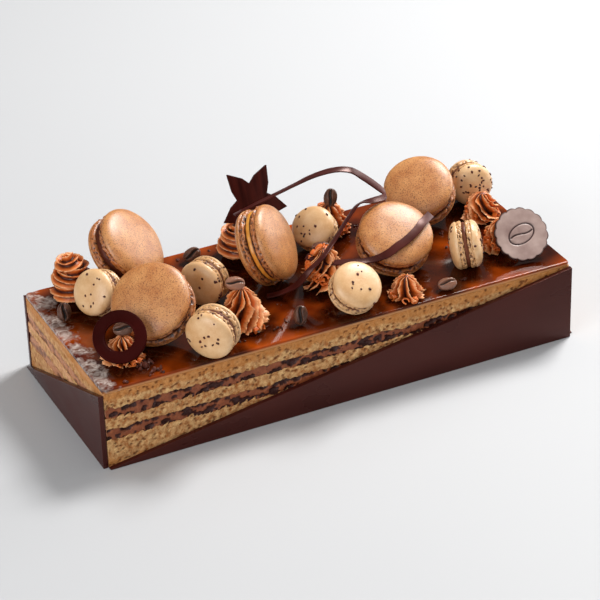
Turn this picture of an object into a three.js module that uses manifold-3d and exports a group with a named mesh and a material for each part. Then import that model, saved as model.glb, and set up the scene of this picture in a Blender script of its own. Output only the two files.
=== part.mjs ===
// Opera cake: three sponges, two cream fillings and a mirror glaze, with a slanting
// chocolate panel on each side, topped with macarons, piped cream, coffee beans and
// chocolate decorations. Millimetres, +Z up, origin at the centre of the cake's base.
import * as THREE from 'three';
import { mergeVertices } from 'three/addons/utils/BufferGeometryUtils.js';
import Module from 'manifold-3d';

const wasm = await Module();
wasm.setup();

// Driving dimensions of the cake itself.
const cakeLength = 300;
const cakeWidth = 122;
const layerHeights = {
  sponge_bottom: 17.5,
  cream_lower: 7.5,
  sponge_middle: 6.5,
  cream_upper: 6.5,
  sponge_top: 10,
  glaze: 3,
};
const glazeCornerRadius = 2.5;
const panelThickness = 3;
const panelHeight = 48;
const panelTipHeight = 0.8;

// Clearance that touching pieces keep.
const gap = 0.3;

// Macarons. Outlines are shares of the radius and of the thickness: a large shell's goes
// from its flat face over the ruffled foot to the dome, a small one's is half of the body.
const fillingThickness = 3.8;
const fillingInset = 1.2;
const fillingBulge = 0.8;
const shellSegments = 18;
const shellOutline = [
  [0, 0], [0.95, 0], [1, 0.12], [0.985, 0.28], [0.97, 0.42],
  [0.9, 0.68], [0.72, 0.88], [0.4, 0.98], [0, 1],
];
const miniSegments = 14;
const miniOutline = [
  [0.93, 0.07], [1, 0.13], [0.97, 0.24], [0.88, 0.36], [0.66, 0.455], [0.34, 0.492], [0, 0.5],
];

// Piped cream: cross sections, how high its belly sits and how wide its foot and tip are.
const rosetteLevels = 7;
const bellyRise = 0.15;
const footShare = 0.9;
const tipShare = 0.07;

// Coffee beans. The section has a rounded back below and a flat face with a groove above.
const beanSize = [11.5, 8.5, 6];
const beanStations = 6;
const beanEndInset = 0.4;
const beanFaceUp = 0.62;
const beanSection = [
  [1, 0], [0.78, 0.5], [0.32, beanFaceUp], [0, 0.22], [-0.32, beanFaceUp],
  [-0.78, 0.5], [-1, 0], [-0.72, -0.7], [0, -1], [0.72, -0.7],
];

// Chocolate decorations.
const starRadius = 24.6;
const starThickness = 2;
const starArms = 5;
// Share of the radius and turn in radians at an arm's tip, side, inner corner and side.
const starArm = [[1, 0], [0.66, 0.02], [0.46, 0], [0.66, -0.02]];
const ringOuterRadius = 15.25;
const ringHoleRadius = 8.25;
const ringThickness = 2.5;
const ringSegments = 24;
const discRadius = 17;
const discThickness = 2.4;
const discScallops = 16;
const cornersPerScallop = 3;
const scallopDepth = 1;
const ribbonWidth = 5;
const ribbonThickness = 0.9;

const glazeTop = Object.values(layerHeights).reduce((sum, height) => sum + height, 0);

const cake = new THREE.Group();

const finishes = {
  sponge: new THREE.MeshStandardMaterial({ color: '#c8a573', roughness: 0.9 }),
  cream: new THREE.MeshStandardMaterial({ color: '#7e4029', roughness: 0.6 }),
  glaze: new THREE.MeshStandardMaterial({ color: '#5a2408', roughness: 0.08 }),
  chocolate: new THREE.MeshStandardMaterial({ color: '#4a2420', roughness: 0.35 }),
  shell: new THREE.MeshStandardMaterial({ color: '#cd9669', roughness: 0.75 }),
  filling: new THREE.MeshStandardMaterial({ color: '#4a2413', roughness: 0.55 }),
  caramel: new THREE.MeshStandardMaterial({ color: '#d79132', roughness: 0.4 }),
  ivoryShell: new THREE.MeshStandardMaterial({ color: '#ebd7af', roughness: 0.7 }),
  pipedCream: new THREE.MeshStandardMaterial({ color: '#b96e3e', roughness: 0.65 }),
  bean: new THREE.MeshStandardMaterial({ color: '#3c2d28', roughness: 0.45 }),
};

function addPiece(parent, name, geometry, finish) {
  const mesh = new THREE.Mesh(geometry, finishes[finish]);
  mesh.name = name;
  parent.add(mesh);
  return mesh;
}

// Closed body through rings of the same number of points, with a fan at each end.
function loft(rings) {
  const count = rings[0].length;
  const positions = rings.flat().flatMap((point) => point.toArray());
  const index = [];
  for (let ring = 0; ring + 1 < rings.length; ring++) {
    for (let side = 0; side < count; side++) {
      const next = (side + 1) % count;
      const low = ring * count;
      const high = low + count;
      index.push(low + side, low + next, high + next);
      index.push(low + side, high + next, high + side);
    }
  }
  const last = (rings.length - 1) * count;
  const firstMiddle = rings.length * count;
  for (const ring of [rings[0], rings[rings.length - 1]]) {
    const middle = ring.reduce((sum, point) => sum.add(point), new THREE.Vector3());
    positions.push(...middle.divideScalar(count).toArray());
  }
  for (let side = 0; side < count; side++) {
    const next = (side + 1) % count;
    index.push(firstMiddle, next, side);
    index.push(firstMiddle + 1, last + side, last + next);
  }
  const geometry = new THREE.BufferGeometry();
  geometry.setAttribute('position', new THREE.Float32BufferAttribute(positions, 3));
  geometry.setIndex(index);
  return geometry;
}

function solidOf(geometry, matrix) {
  const bare = new THREE.BufferGeometry();
  bare.setAttribute('position', geometry.getAttribute('position').clone());
  if (geometry.index) bare.setIndex(geometry.index.clone());
  bare.applyMatrix4(matrix);
  const merged = mergeVertices(bare, 1e-4);
  return new wasm.Manifold(new wasm.Mesh({
    numProp: 3,
    vertProperties: new Float32Array(merged.getAttribute('position').array),
    triVerts: new Uint32Array(merged.index.array),
  }));
}

function geometryOf(solid, matrix) {
  const { vertProperties, triVerts } = solid.getMesh();
  const geometry = new THREE.BufferGeometry();
  geometry.setAttribute('position', new THREE.Float32BufferAttribute(vertProperties, 3));
  geometry.setIndex(new THREE.Uint32BufferAttribute(triVerts, 1));
  return geometry.applyMatrix4(matrix.clone().invert());
}

// Replaces a mesh's geometry by what is left after another body is taken out of it.
function cutBy(mesh, cutter, cutterMatrix) {
  mesh.updateWorldMatrix(true, false);
  const left = solidOf(mesh.geometry, mesh.matrixWorld).subtract(solidOf(cutter, cutterMatrix));
  mesh.geometry = geometryOf(left, mesh.matrixWorld);
}

// The cake's layers are plain slabs of the full length and width.
function slabGeometry(height) {
  const slab = new THREE.BoxGeometry(cakeLength, cakeWidth, height);
  return slab.translate(0, 0, height / 2);
}

// The glaze runs over the edge of the top sponge, so its upper rim is rounded.
function glazeGeometry(height) {
  const rim = (inset, z) => {
    const x = cakeLength / 2 - inset;
    const y = cakeWidth / 2 - inset;
    const corners = [[-x, -y], [x, -y], [x, y], [-x, y]];
    return corners.map(([cornerX, cornerY]) => new THREE.Vector3(cornerX, cornerY, z));
  };
  const rings = [rim(0, 0), rim(0, height - glazeCornerRadius)];
  for (const turn of [30, 60, 90]) {
    const angle = THREE.MathUtils.degToRad(turn);
    const inset = glazeCornerRadius * (1 - Math.cos(angle));
    rings.push(rim(inset, height - glazeCornerRadius * (1 - Math.sin(angle))));
  }
  return loft(rings);
}

function addLayers() {
  let base = 0;
  for (const [name, height] of Object.entries(layerHeights)) {
    const finish = name.split('_')[0];
    const geometry = name === 'glaze' ? glazeGeometry(height) : slabGeometry(height);
    addPiece(cake, name, geometry, finish).position.z = base;
    base += height;
  }
}

// Each chocolate panel rises from one lower corner to the next upper corner.
function panelGeometry(length) {
  const outline = new THREE.Shape();
  outline.moveTo(0, 0);
  outline.lineTo(length, 0);
  outline.lineTo(length, panelHeight);
  outline.lineTo(0, panelTipHeight);
  outline.closePath();
  const panel = new THREE.ExtrudeGeometry(outline, { depth: panelThickness, bevelEnabled: false });
  return panel.rotateX(Math.PI / 2);
}

function addPanels() {
  const halfLength = cakeLength / 2;
  const halfWidth = cakeWidth / 2;
  const places = [
    ['panel_front', cakeLength, [-halfLength, -halfWidth], 0],
    ['panel_right', cakeWidth, [halfLength, -halfWidth], 90],
    ['panel_back', cakeLength, [halfLength, halfWidth], 180],
    ['panel_left', cakeWidth, [-halfLength, halfWidth], 270],
  ];
  for (const [name, length, [x, y], turn] of places) {
    const panel = addPiece(cake, name, panelGeometry(length), 'chocolate');
    panel.position.set(x, y, 0);
    panel.rotation.z = THREE.MathUtils.degToRad(turn);
  }
}

function profileFrom(outline, radius, thickness) {
  return outline.map(([across, up]) => new THREE.Vector2(across * radius, up * thickness));
}

function turnTo(object, direction) {
  const axis = new THREE.Vector3(...direction).normalize();
  object.quaternion.setFromUnitVectors(new THREE.Vector3(0, 1, 0), axis);
}

function addMacaron(name, { diameter, thickness, center, axis, finish = 'filling' }) {
  const macaron = new THREE.Group();
  macaron.position.set(...center);
  turnTo(macaron, axis);
  cake.add(macaron);
  const radius = diameter / 2;
  const shellThickness = (thickness - fillingThickness) / 2 - gap;
  const shellProfile = profileFrom(shellOutline, radius, shellThickness);
  const shell = new THREE.LatheGeometry(shellProfile, shellSegments);
  const shellOffset = fillingThickness / 2 + gap;
  addPiece(macaron, `${name}_shell_front`, shell, 'shell').position.y = shellOffset;
  const back = addPiece(macaron, `${name}_shell_back`, shell, 'shell');
  back.position.y = -shellOffset;
  back.rotation.x = Math.PI;
  const edge = radius - fillingInset;
  const flat = edge - fillingBulge;
  const section = [[0, -0.5], [flat, -0.5], [edge, 0], [flat, 0.5], [0, 0.5]];
  const fillingProfile = profileFrom(section, 1, fillingThickness);
  const filling = new THREE.LatheGeometry(fillingProfile, shellSegments);
  addPiece(macaron, `${name}_filling`, filling, finish);
}

// A small macaron is one body: dome, foot, recessed filling, foot, dome.
function addMiniMacaron(name, { diameter, thickness, center, axis }) {
  const upper = profileFrom(miniOutline, diameter / 2, thickness);
  const lower = profileFrom(miniOutline, diameter / 2, -thickness).reverse();
  const profile = [...lower, ...upper];
  const body = addPiece(cake, name, new THREE.LatheGeometry(profile, miniSegments), 'ivoryShell');
  body.position.set(...center);
  turnTo(body, axis);
}

// A star-nozzle swirl: ridges and deep grooves that turn as they rise to a tip.
function rosetteGeometry({ radius, height, ridges, twist, depth, slope = 0.8 }) {
  const rings = [];
  for (let level = 0; level < rosetteLevels; level++) {
    const rise = level / (rosetteLevels - 1);
    const below = footShare + ((1 - footShare) * rise) / bellyRise;
    const above = Math.pow((1 - rise) / (1 - bellyRise), slope);
    const size = radius * Math.max(rise < bellyRise ? below : above, tipShare);
    const ring = [];
    for (let side = 0; side < ridges * 2; side++) {
      const angle = (side * Math.PI) / ridges + twist * rise;
      const reach = side % 2 ? size * (1 - depth) : size;
      ring.push(new THREE.Vector3(reach * Math.cos(angle), reach * Math.sin(angle), height * rise));
    }
    rings.push(ring);
  }
  return loft(rings);
}

function addRosette(name, place) {
  const rosette = addPiece(cake, name, rosetteGeometry(place), 'pipedCream');
  rosette.position.set(place.center[0], place.center[1], glazeTop);
  return rosette;
}

function beanGeometry(length, width, height) {
  const rings = [];
  for (let station = 0; station < beanStations; station++) {
    const share = (station + beanEndInset) / (beanStations - 1 + 2 * beanEndInset);
    const along = -Math.cos(Math.PI * share);
    const girth = Math.sqrt(1 - along * along);
    rings.push(beanSection.map(([across, up]) => new THREE.Vector3(
      (along * length) / 2,
      (across * girth * width) / 2,
      (up * girth * height) / (1 + beanFaceUp),
    )));
  }
  return loft(rings);
}

// grooveSide is the direction that the flat face looks in, and along is the bean's long axis.
function addBean(name, { center, grooveSide, along }) {
  const bean = addPiece(cake, name, beanGeometry(...beanSize), 'bean');
  const up = new THREE.Vector3(...grooveSide).normalize();
  const long = new THREE.Vector3(...along);
  long.addScaledVector(up, -long.dot(up)).normalize();
  const across = new THREE.Vector3().crossVectors(up, long);
  bean.quaternion.setFromRotationMatrix(new THREE.Matrix4().makeBasis(long, across, up));
  bean.position.set(...center);
}

// grow makes a decoration a little larger all round, for cutting it out of the cream.
function starGeometry(grow) {
  const outline = new THREE.Shape();
  const corners = starArms * starArm.length;
  for (let corner = 0; corner < corners; corner++) {
    const [share, bend] = starArm[corner % starArm.length];
    const angle = (corner * 2 * Math.PI) / corners + bend;
    const reach = starRadius * share + grow;
    const point = [reach * Math.cos(angle), reach * Math.sin(angle)];
    if (corner === 0) outline.moveTo(...point);
    else outline.lineTo(...point);
  }
  outline.closePath();
  const depth = starThickness + 2 * grow;
  const star = new THREE.ExtrudeGeometry(outline, { depth, bevelEnabled: false });
  return star.translate(0, 0, -depth / 2);
}

function ringGeometry(grow) {
  const half = ringThickness / 2 + grow;
  const inner = ringHoleRadius - grow;
  const outer = ringOuterRadius + grow;
  const edge = [[inner, -half], [outer, -half], [outer, half], [inner, half], [inner, -half]];
  const profile = edge.map(([across, up]) => new THREE.Vector2(across, up));
  return new THREE.LatheGeometry(profile, ringSegments);
}

function discGeometry() {
  const outline = new THREE.Shape();
  const steps = discScallops * cornersPerScallop;
  for (let step = 0; step < steps; step++) {
    const angle = (step * 2 * Math.PI) / steps;
    const bump = Math.abs(Math.sin((discScallops / 2) * angle));
    const reach = discRadius - scallopDepth * (1 - bump);
    const point = [reach * Math.cos(angle), reach * Math.sin(angle)];
    if (step === 0) outline.moveTo(...point);
    else outline.lineTo(...point);
  }
  outline.closePath();
  const disc = new THREE.ExtrudeGeometry(outline, { depth: discThickness, bevelEnabled: false });
  return disc.translate(0, 0, -discThickness / 2);
}

// A flat strip that follows a curve; each route point also says where its width points.
function ribbonGeometry(route, steps, grow) {
  const points = route.map(([x, y, z]) => new THREE.Vector3(x, y, z));
  const widths = route.map(([, , , x, y, z]) => new THREE.Vector3(x, y, z));
  const path = new THREE.CatmullRomCurve3(points, false, 'centripetal');
  const widthPath = new THREE.CatmullRomCurve3(widths, false, 'catmullrom');
  const rings = [];
  for (let step = 0; step <= steps; step++) {
    const share = step / steps;
    const middle = path.getPoint(share);
    const forward = path.getTangent(share);
    const across = widthPath.getPoint(share);
    across.addScaledVector(forward, -across.dot(forward)).normalize();
    const normal = new THREE.Vector3().crossVectors(forward, across);
    const corners = [[-1, -1], [1, -1], [1, 1], [-1, 1]];
    rings.push(corners.map(([side, face]) => middle.clone()
      .addScaledVector(across, side * (ribbonWidth / 2 + grow))
      .addScaledVector(normal, face * (ribbonThickness / 2 + grow))));
  }
  return loft(rings);
}

// Where everything stands: centres and the directions that faces and axes point in.
const macarons = {
  macaron_1: {
    diameter: 46.5,
    thickness: 24.5,
    center: [-90.5, 44.5, 72.8],
    axis: [0.522, -0.529, 0.665],
  },
  macaron_2: {
    diameter: 46.5,
    thickness: 24,
    center: [-100.7, -19.5, 71.2],
    axis: [-0.442, -0.439, 0.782],
  },
  macaron_3: {
    diameter: 46.3,
    thickness: 24.5,
    center: [-17.5, 5.5, 74.7],
    axis: [0.697, -0.568, 0.436],
    finish: 'caramel',
  },
  macaron_4: {
    diameter: 44.5,
    thickness: 24,
    center: [56.1, -15.1, 69],
    axis: [-0.03, -0.492, 0.868],
  },
  macaron_5: {
    diameter: 43,
    thickness: 24,
    center: [97.2, 29.4, 69.2],
    axis: [-0.373, -0.38, 0.846],
  },
};

const miniMacarons = {
  mini_macaron_1: {
    diameter: 27.4,
    thickness: 19.5,
    center: [-119.7, 17.2, 65.4],
    axis: [-0.797, -0.402, 0.45],
  },
  mini_macaron_2: {
    diameter: 27.5,
    thickness: 19.5,
    center: [-60, 0, 65.2],
    axis: [-0.826, -0.562, 0.053],
  },
  mini_macaron_3: {
    diameter: 29.2,
    thickness: 21,
    center: [-79.5, -54.7, 66],
    axis: [-0.763, -0.648, -0.027],
  },
  mini_macaron_4: {
    diameter: 26.4,
    thickness: 19,
    center: [24, 25.8, 64.3],
    axis: [-0.513, -0.438, 0.735],
  },
  mini_macaron_5: {
    diameter: 26.5,
    thickness: 22,
    center: [133.6, 32.5, 64.8],
    axis: [-0.1, -0.97, 0.2],
  },
  mini_macaron_6: {
    diameter: 28.4,
    thickness: 19.5,
    center: [93, -36, 65.6],
    axis: [0.896, -0.423, 0.144],
  },
  mini_macaron_7: {
    diameter: 29.2,
    thickness: 19.5,
    center: [12.8, -48.5, 64.7],
    axis: [0.064, -0.615, 0.786],
  },
};

const rosettes = {
  rosette_1: {
    center: [-126, 42.5],
    radius: 14.5,
    height: 28,
    ridges: 8,
    twist: 1.6,
    depth: 0.3,
    slope: 0.45,
  },
  rosette_2: {
    center: [-127, -36],
    radius: 13.5,
    height: 15.5,
    ridges: 9,
    twist: 0.5,
    depth: 0.4,
    slope: 0.55,
  },
  rosette_3: {
    center: [-52, -33],
    radius: 16.5,
    height: 24,
    ridges: 9,
    twist: -0.5,
    depth: 0.4,
  },
  rosette_4: {
    center: [-20, 38],
    radius: 16,
    height: 26,
    ridges: 8,
    twist: 1.3,
    depth: 0.3,
    slope: 0.5,
  },
  rosette_5: {
    center: [40, 40],
    radius: 15,
    height: 19.5,
    ridges: 9,
    twist: 0.6,
    depth: 0.38,
  },
  rosette_6: {
    center: [9, -16],
    radius: 15.5,
    height: 25,
    ridges: 9,
    twist: -0.7,
    depth: 0.4,
  },
  rosette_7: {
    center: [130.5, 10.8],
    radius: 12.3,
    height: 17.5,
    ridges: 8,
    twist: 0.6,
    depth: 0.38,
  },
  rosette_8: {
    center: [121, -28],
    radius: 13,
    height: 20,
    ridges: 9,
    twist: 0.5,
    depth: 0.4,
  },
  rosette_9: {
    center: [45.5, -50],
    radius: 11.5,
    height: 13.5,
    ridges: 8,
    twist: 0.3,
    depth: 0.45,
    slope: 0.6,
  },
};

const beans = {
  bean_1: { center: [-140.6, 19.5, 57.1], grooveSide: [-0.4, -0.9, 0.3], along: [0, 0, 1] },
  bean_2: { center: [-125.4, -34.1, 70], grooveSide: [-0.3, -0.6, 0.8], along: [0.9, -0.4, 0.1] },
  bean_3: { center: [-55, -32, 78.5], grooveSide: [-0.2, -0.6, 0.8], along: [1, -0.5, 0] },
  bean_4: { center: [-48, 47, 56], grooveSide: [-0.2, -0.7, 0.7], along: [1, 0.4, 0] },
  bean_5: { center: [41, 38.5, 75.5], grooveSide: [-0.4, -0.8, 0.4], along: [0.2, 0, 1] },
  bean_6: { center: [12, -7, 71], grooveSide: [-0.2, -0.5, 0.8], along: [1, -0.4, 0] },
  bean_7: { center: [-22.5, -49, 57], grooveSide: [-0.4, -0.8, 0.4], along: [0.1, 0, 1] },
  bean_8: { center: [70, -55, 55], grooveSide: [-0.2, -0.3, 0.9], along: [1, -0.2, 0] },
};

const starPlace = {
  center: [-9.2, 40.9, 84.3],
  across: [0.968, 0.251, 0],
  face: [0.229, -0.882, 0.412],
  turn: -24.7,
};
const ringPlace = { center: [-129.4, -38.75, 68.2], axis: [-0.36, -0.66, 0.66] };
const discPlace = { center: [129, -39, 64.2], face: [-0.122, -0.708, 0.695] };

// x, y, z of the strip's middle, then the direction of its width.
const longRibbonRoute = [
  [-29, 24, 89, 0.1, 1, -0.3],
  [-17.5, 23, 92.7, 0.1, 1, -0.3],
  [-5.5, 22, 96.4, 0.1, 1, -0.3],
  [8.8, 20, 101.2, 0.1, 1, -0.25],
  [19.7, 18, 105, 0, 1, -0.1],
  [32, 16, 106.8, 0, 1, 0.1],
  [42.2, 14, 105.2, 0.3, 0.9, 0.3],
  [49.7, 12, 99.8, 0.5, 0.7, 0.4],
  [58.7, 9.5, 91.5, 0.5, 0.7, 0.4],
  [62, 6.5, 87.6, 0.3, 0.9, 0.3],
  [58, 2.5, 88, 0, 1, 0.3],
  [50, 0, 89.3, 0, 1, 0.2],
  [39.2, -3, 91.2, -0.4, 0.6, -0.5],
  [32.3, -6, 87.7, -0.6, 0.4, -0.6],
  [24.2, -10, 82.5, -0.6, 0.4, -0.6],
  [14.5, -16, 77.3, -0.6, 0.4, -0.5],
  [3.3, -24, 74.3, -0.6, 0.6, -0.4],
  [-4.5, -25, 69.6, -0.6, 0.6, -0.2],
  [-11, -22, 60.5, -0.2, 0.9, 0],
  [-16.4, -18, 55.6, 0.3, 0.9, 0],
  [-21.5, -15.3, 53.3, 0.42, 0.9, 0],
  [-27, -13, 52.2, 0.42, 0.9, 0],
];

const shortRibbonRoute = [
  [80.3, -15.7, 79.5, -0.4, 0.7, 0.5],
  [71.3, -22.6, 79.9, -0.5, 0.7, 0.45],
  [64.6, -26.9, 78.1, -0.45, 0.75, 0.5],
  [56.2, -30.5, 75.8, -0.4, 0.75, 0.5],
  [49.3, -32, 74.1, -0.3, 0.8, 0.5],
  [43.4, -32.9, 71.9, -0.2, 0.9, 0.5],
  [38.2, -31.9, 70, -0.1, 1, 0.3],
  [31.5, -30.5, 69, 0, 1, 0.2],
  [21.7, -28, 69.4, 0, 1, 0.2],
  [8.9, -21.2, 69.1, 0.1, 1, 0.2],
  [3.8, -17.2, 70.4, 0.3, 1, 0.2],
  [1, -10, 69.9, 0.7, 0.5, 0.2],
];

const ribbons = {
  ribbon_long: { route: longRibbonRoute, steps: 40 },
  ribbon_short: { route: shortRibbonRoute, steps: 20 },
};

function addToppings() {
  for (const [name, place] of Object.entries(macarons)) addMacaron(name, place);
  for (const [name, place] of Object.entries(miniMacarons)) addMiniMacaron(name, place);
  const piped = {};
  for (const [name, place] of Object.entries(rosettes)) piped[name] = addRosette(name, place);
  for (const [name, place] of Object.entries(beans)) addBean(name, place);
  return piped;
}

function addDecorations(piped) {
  const star = addPiece(cake, 'chocolate_star', starGeometry(0), 'chocolate');
  const across = new THREE.Vector3(...starPlace.across).normalize();
  const face = new THREE.Vector3(...starPlace.face).normalize();
  const up = new THREE.Vector3().crossVectors(face, across).normalize();
  const basis = new THREE.Matrix4().makeBasis(new THREE.Vector3().crossVectors(up, face), up, face);
  star.quaternion.setFromRotationMatrix(basis);
  star.rotateZ(THREE.MathUtils.degToRad(starPlace.turn));
  star.position.set(...starPlace.center);
  star.updateWorldMatrix(true, false);
  cutBy(piped.rosette_4, starGeometry(gap), star.matrixWorld);

  const ring = addPiece(cake, 'chocolate_ring', ringGeometry(0), 'chocolate');
  ring.position.set(...ringPlace.center);
  turnTo(ring, ringPlace.axis);
  ring.updateWorldMatrix(true, false);
  cutBy(piped.rosette_2, ringGeometry(gap), ring.matrixWorld);

  const disc = addPiece(cake, 'scalloped_disc', discGeometry(), 'chocolate');
  disc.position.set(...discPlace.center);
  const discFace = new THREE.Vector3(...discPlace.face).normalize();
  disc.quaternion.setFromUnitVectors(new THREE.Vector3(0, 0, 1), discFace);

  for (const [name, { route, steps }] of Object.entries(ribbons)) {
    addPiece(cake, name, ribbonGeometry(route, steps, 0), 'chocolate');
    cutBy(piped.rosette_6, ribbonGeometry(route, steps, gap), new THREE.Matrix4());
  }
}

addLayers();
addPanels();
addDecorations(addToppings());

export default cake;
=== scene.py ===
import math
import random

import bmesh
import bpy
import numpy as np
from mathutils import Matrix, Vector, noise


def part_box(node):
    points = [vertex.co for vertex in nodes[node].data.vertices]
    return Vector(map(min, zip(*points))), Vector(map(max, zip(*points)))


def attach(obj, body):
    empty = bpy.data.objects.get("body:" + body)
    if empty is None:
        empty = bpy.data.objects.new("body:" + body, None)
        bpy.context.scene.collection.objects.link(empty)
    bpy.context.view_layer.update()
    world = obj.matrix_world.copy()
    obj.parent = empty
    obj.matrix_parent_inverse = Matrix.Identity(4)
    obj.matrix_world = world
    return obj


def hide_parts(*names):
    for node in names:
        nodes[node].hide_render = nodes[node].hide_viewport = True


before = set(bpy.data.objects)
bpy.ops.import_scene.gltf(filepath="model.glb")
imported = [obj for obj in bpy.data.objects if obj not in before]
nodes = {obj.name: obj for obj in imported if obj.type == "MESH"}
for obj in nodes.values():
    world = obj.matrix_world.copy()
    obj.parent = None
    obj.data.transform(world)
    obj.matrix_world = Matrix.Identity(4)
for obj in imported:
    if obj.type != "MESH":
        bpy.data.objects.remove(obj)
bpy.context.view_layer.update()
mm = 0.001


def say(stage):
    print("cake:", stage)


def shadeSmooth(mesh, smooth=True):
    mesh.polygons.foreach_set("use_smooth", [smooth] * len(mesh.polygons))


def newPiece(name, points, faces, **values):
    # points come in millimetres; each value is kept on the points
    mesh = bpy.data.meshes.new(name)
    mesh.from_pydata((np.asarray(points) * mm).tolist(), [], faces)
    shadeSmooth(mesh)
    for label, numbers in values.items():
        layer = mesh.attributes.new(label, "FLOAT", "POINT")
        layer.data.foreach_set("value", np.asarray(numbers, dtype=np.float32))
    piece = bpy.data.objects.new(name, mesh)
    bpy.context.scene.collection.objects.link(piece)
    return piece


def finishPiece(piece, material, slot, *replaced):
    piece.data.materials.clear()
    piece.data.materials.append(material)
    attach(piece, "root")
    if replaced:
        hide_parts(*replaced)


def withPoles(values):
    # the two points that close a skin carry nothing
    return np.concatenate([np.ravel(values), [0, 0]])


def circle(sides):
    turns = [side * 2 * math.pi / sides for side in range(sides)]
    return [(math.cos(turn), math.sin(turn)) for turn in turns]


def ringFaces(rings, sides):
    # closed skin over rings of points, with a point at each pole after the rings
    faces = []
    for ring in range(rings - 1):
        for side in range(sides):
            after = (side + 1) % sides
            low = ring * sides
            faces.append((low + side, low + after, low + sides + after, low + sides + side))
    firstPole = rings * sides
    top = (rings - 1) * sides
    for side in range(sides):
        after = (side + 1) % sides
        faces.append((firstPole, after, side))
        faces.append((firstPole + 1, top + side, top + after))
    return faces


def applyModifiers(piece):
    evaluated = piece.evaluated_get(bpy.context.evaluated_depsgraph_get())
    mesh = bpy.data.meshes.new_from_object(evaluated)
    piece.modifiers.clear()
    piece.data = mesh


def noiseAt(x, y, z, size, seed=0.0):
    return noise.noise(Vector((x / size + seed, y / size - seed, z / size + 0.37 * seed)))


def fieldNoise(points, size, seed=0.0):
    return np.array([noiseAt(x, y, z, size, seed) for x, y, z in points])


def nodePoints(name):
    mesh = nodes[name].data
    flat = np.empty(len(mesh.vertices) * 3)
    mesh.vertices.foreach_get("co", flat)
    return np.unique(np.round(flat.reshape(-1, 3) / mm, 3), axis=0)


def nodeBox(name):
    low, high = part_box(name)
    return np.array(low) / mm, np.array(high) / mm


def nodeAxes(name):
    # centre, then the directions of least, middle and greatest spread
    points = nodePoints(name)
    middle = points.mean(axis=0)
    spread, turn = np.linalg.eigh(np.cov((points - middle).T))
    return middle, turn[:, 0], turn[:, 1], turn[:, 2]


def towards(direction, hint):
    return direction if np.dot(direction, hint) > 0 else -direction


def frameFrom(axis, side):
    # columns: side, the third direction, axis
    axis = np.asarray(axis, dtype=float)
    axis = axis / np.linalg.norm(axis)
    side = np.asarray(side, dtype=float)
    side = side - axis * side.dot(axis)
    side = side / np.linalg.norm(side)
    return np.stack([side, np.cross(axis, side), axis], axis=1)


def moved(points, turn, middle):
    return np.asarray(points) @ turn.T + middle


def paint(red, green, blue):
    # the usual 0-255 screen colour as a linear one
    linear = []
    for value in (red, green, blue):
        share = value / 255
        linear.append(share / 12.92 if share <= 0.04045 else ((share + 0.055) / 1.055) ** 2.4)
    return (*linear, 1.0)


def painted(tones):
    # a dictionary's colours made linear, whether they stand alone or in pairs
    return {name: paint(*tone) if isinstance(tone[0], int) else [paint(*part) for part in tone]
            for name, tone in tones.items()}


class Wire:
    # a node's output that sums, products and powers can be written with
    def __init__(self, tree, socket):
        self.tree = tree
        self.socket = socket

    def into(self, target):
        self.tree.links.new(self.socket, target)

    def __add__(self, other):
        return calc(self.tree, "ADD", self, other)

    def __radd__(self, other):
        return calc(self.tree, "ADD", other, self)

    def __sub__(self, other):
        return calc(self.tree, "SUBTRACT", self, other)

    def __rsub__(self, other):
        return calc(self.tree, "SUBTRACT", other, self)

    def __mul__(self, other):
        return calc(self.tree, "MULTIPLY", self, other)

    def __truediv__(self, other):
        return calc(self.tree, "DIVIDE", self, other)

    def __pow__(self, other):
        return calc(self.tree, "POWER", self, other)


def addNode(tree, kind, inputs=None, **settings):
    node = tree.nodes.new(kind)
    for key, value in settings.items():
        setattr(node, key, value)
    for key, value in (inputs or {}).items():
        if isinstance(value, Wire):
            value.into(node.inputs[key])
        else:
            node.inputs[key].default_value = value
    return node


def wireFrom(tree, kind, output, inputs=None, **settings):
    # adds a node and hands back one of its outputs
    return Wire(tree, addNode(tree, kind, inputs, **settings).outputs[output])


def calc(tree, operation, first, second=0.0):
    return wireFrom(tree, "ShaderNodeMath", 0, {0: first, 1: second}, operation=operation)


def mixColor(tree, factor, first, second):
    return wireFrom(tree, "ShaderNodeMix", 2, {0: factor, 6: first, 7: second}, data_type="RGBA")


def layered(tree, color, *layers):
    # lays one tone after another over a colour, each by its share
    for share, tone in layers:
        color = mixColor(tree, share, color, tone)
    return color


def remap(tree, value, low, high, outLow=0.0, outHigh=1.0):
    return wireFrom(tree, "ShaderNodeMapRange", "Result", {
        "Value": value, "From Min": low, "From Max": high, "To Min": outLow, "To Max": outHigh})


def cloud(tree, place, scale, detail=2.0, roughness=0.5, distortion=0.0):
    # soft noise around 0.5
    return wireFrom(tree, "ShaderNodeTexNoise", "Fac", {
        "Vector": place, "Scale": scale, "Detail": detail, "Roughness": roughness,
        "Distortion": distortion})


def objectPlace(tree):
    return wireFrom(tree, "ShaderNodeTexCoord", "Object")


def stretchedPlace(tree, scale):
    stretch = addNode(tree, "ShaderNodeMapping", {"Vector": objectPlace(tree)})
    stretch.inputs["Scale"].default_value = scale
    return Wire(tree, stretch.outputs["Vector"])


def namedValue(tree, name):
    return wireFrom(tree, "ShaderNodeAttribute", "Fac", attribute_name=name)


def newMaterial(name, roughness, **sockets):
    material = bpy.data.materials.new(name)
    material.use_nodes = True
    shader = material.node_tree.nodes["Principled BSDF"]
    shader.inputs["Roughness"].default_value = roughness
    for socket, value in sockets.items():
        shader.inputs[socket.replace("_", " ")].default_value = value
    return material, material.node_tree


def dress(material, color, height, strength, distance):
    # wires a colour and a bump of so many millimetres into the shader
    shader = material.node_tree.nodes["Principled BSDF"]
    color.into(shader.inputs["Base Color"])
    wireFrom(material.node_tree, "ShaderNodeBump", "Normal", {
        "Strength": strength, "Distance": distance * mm, "Height": height,
    }).into(shader.inputs["Normal"])
    return material


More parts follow.
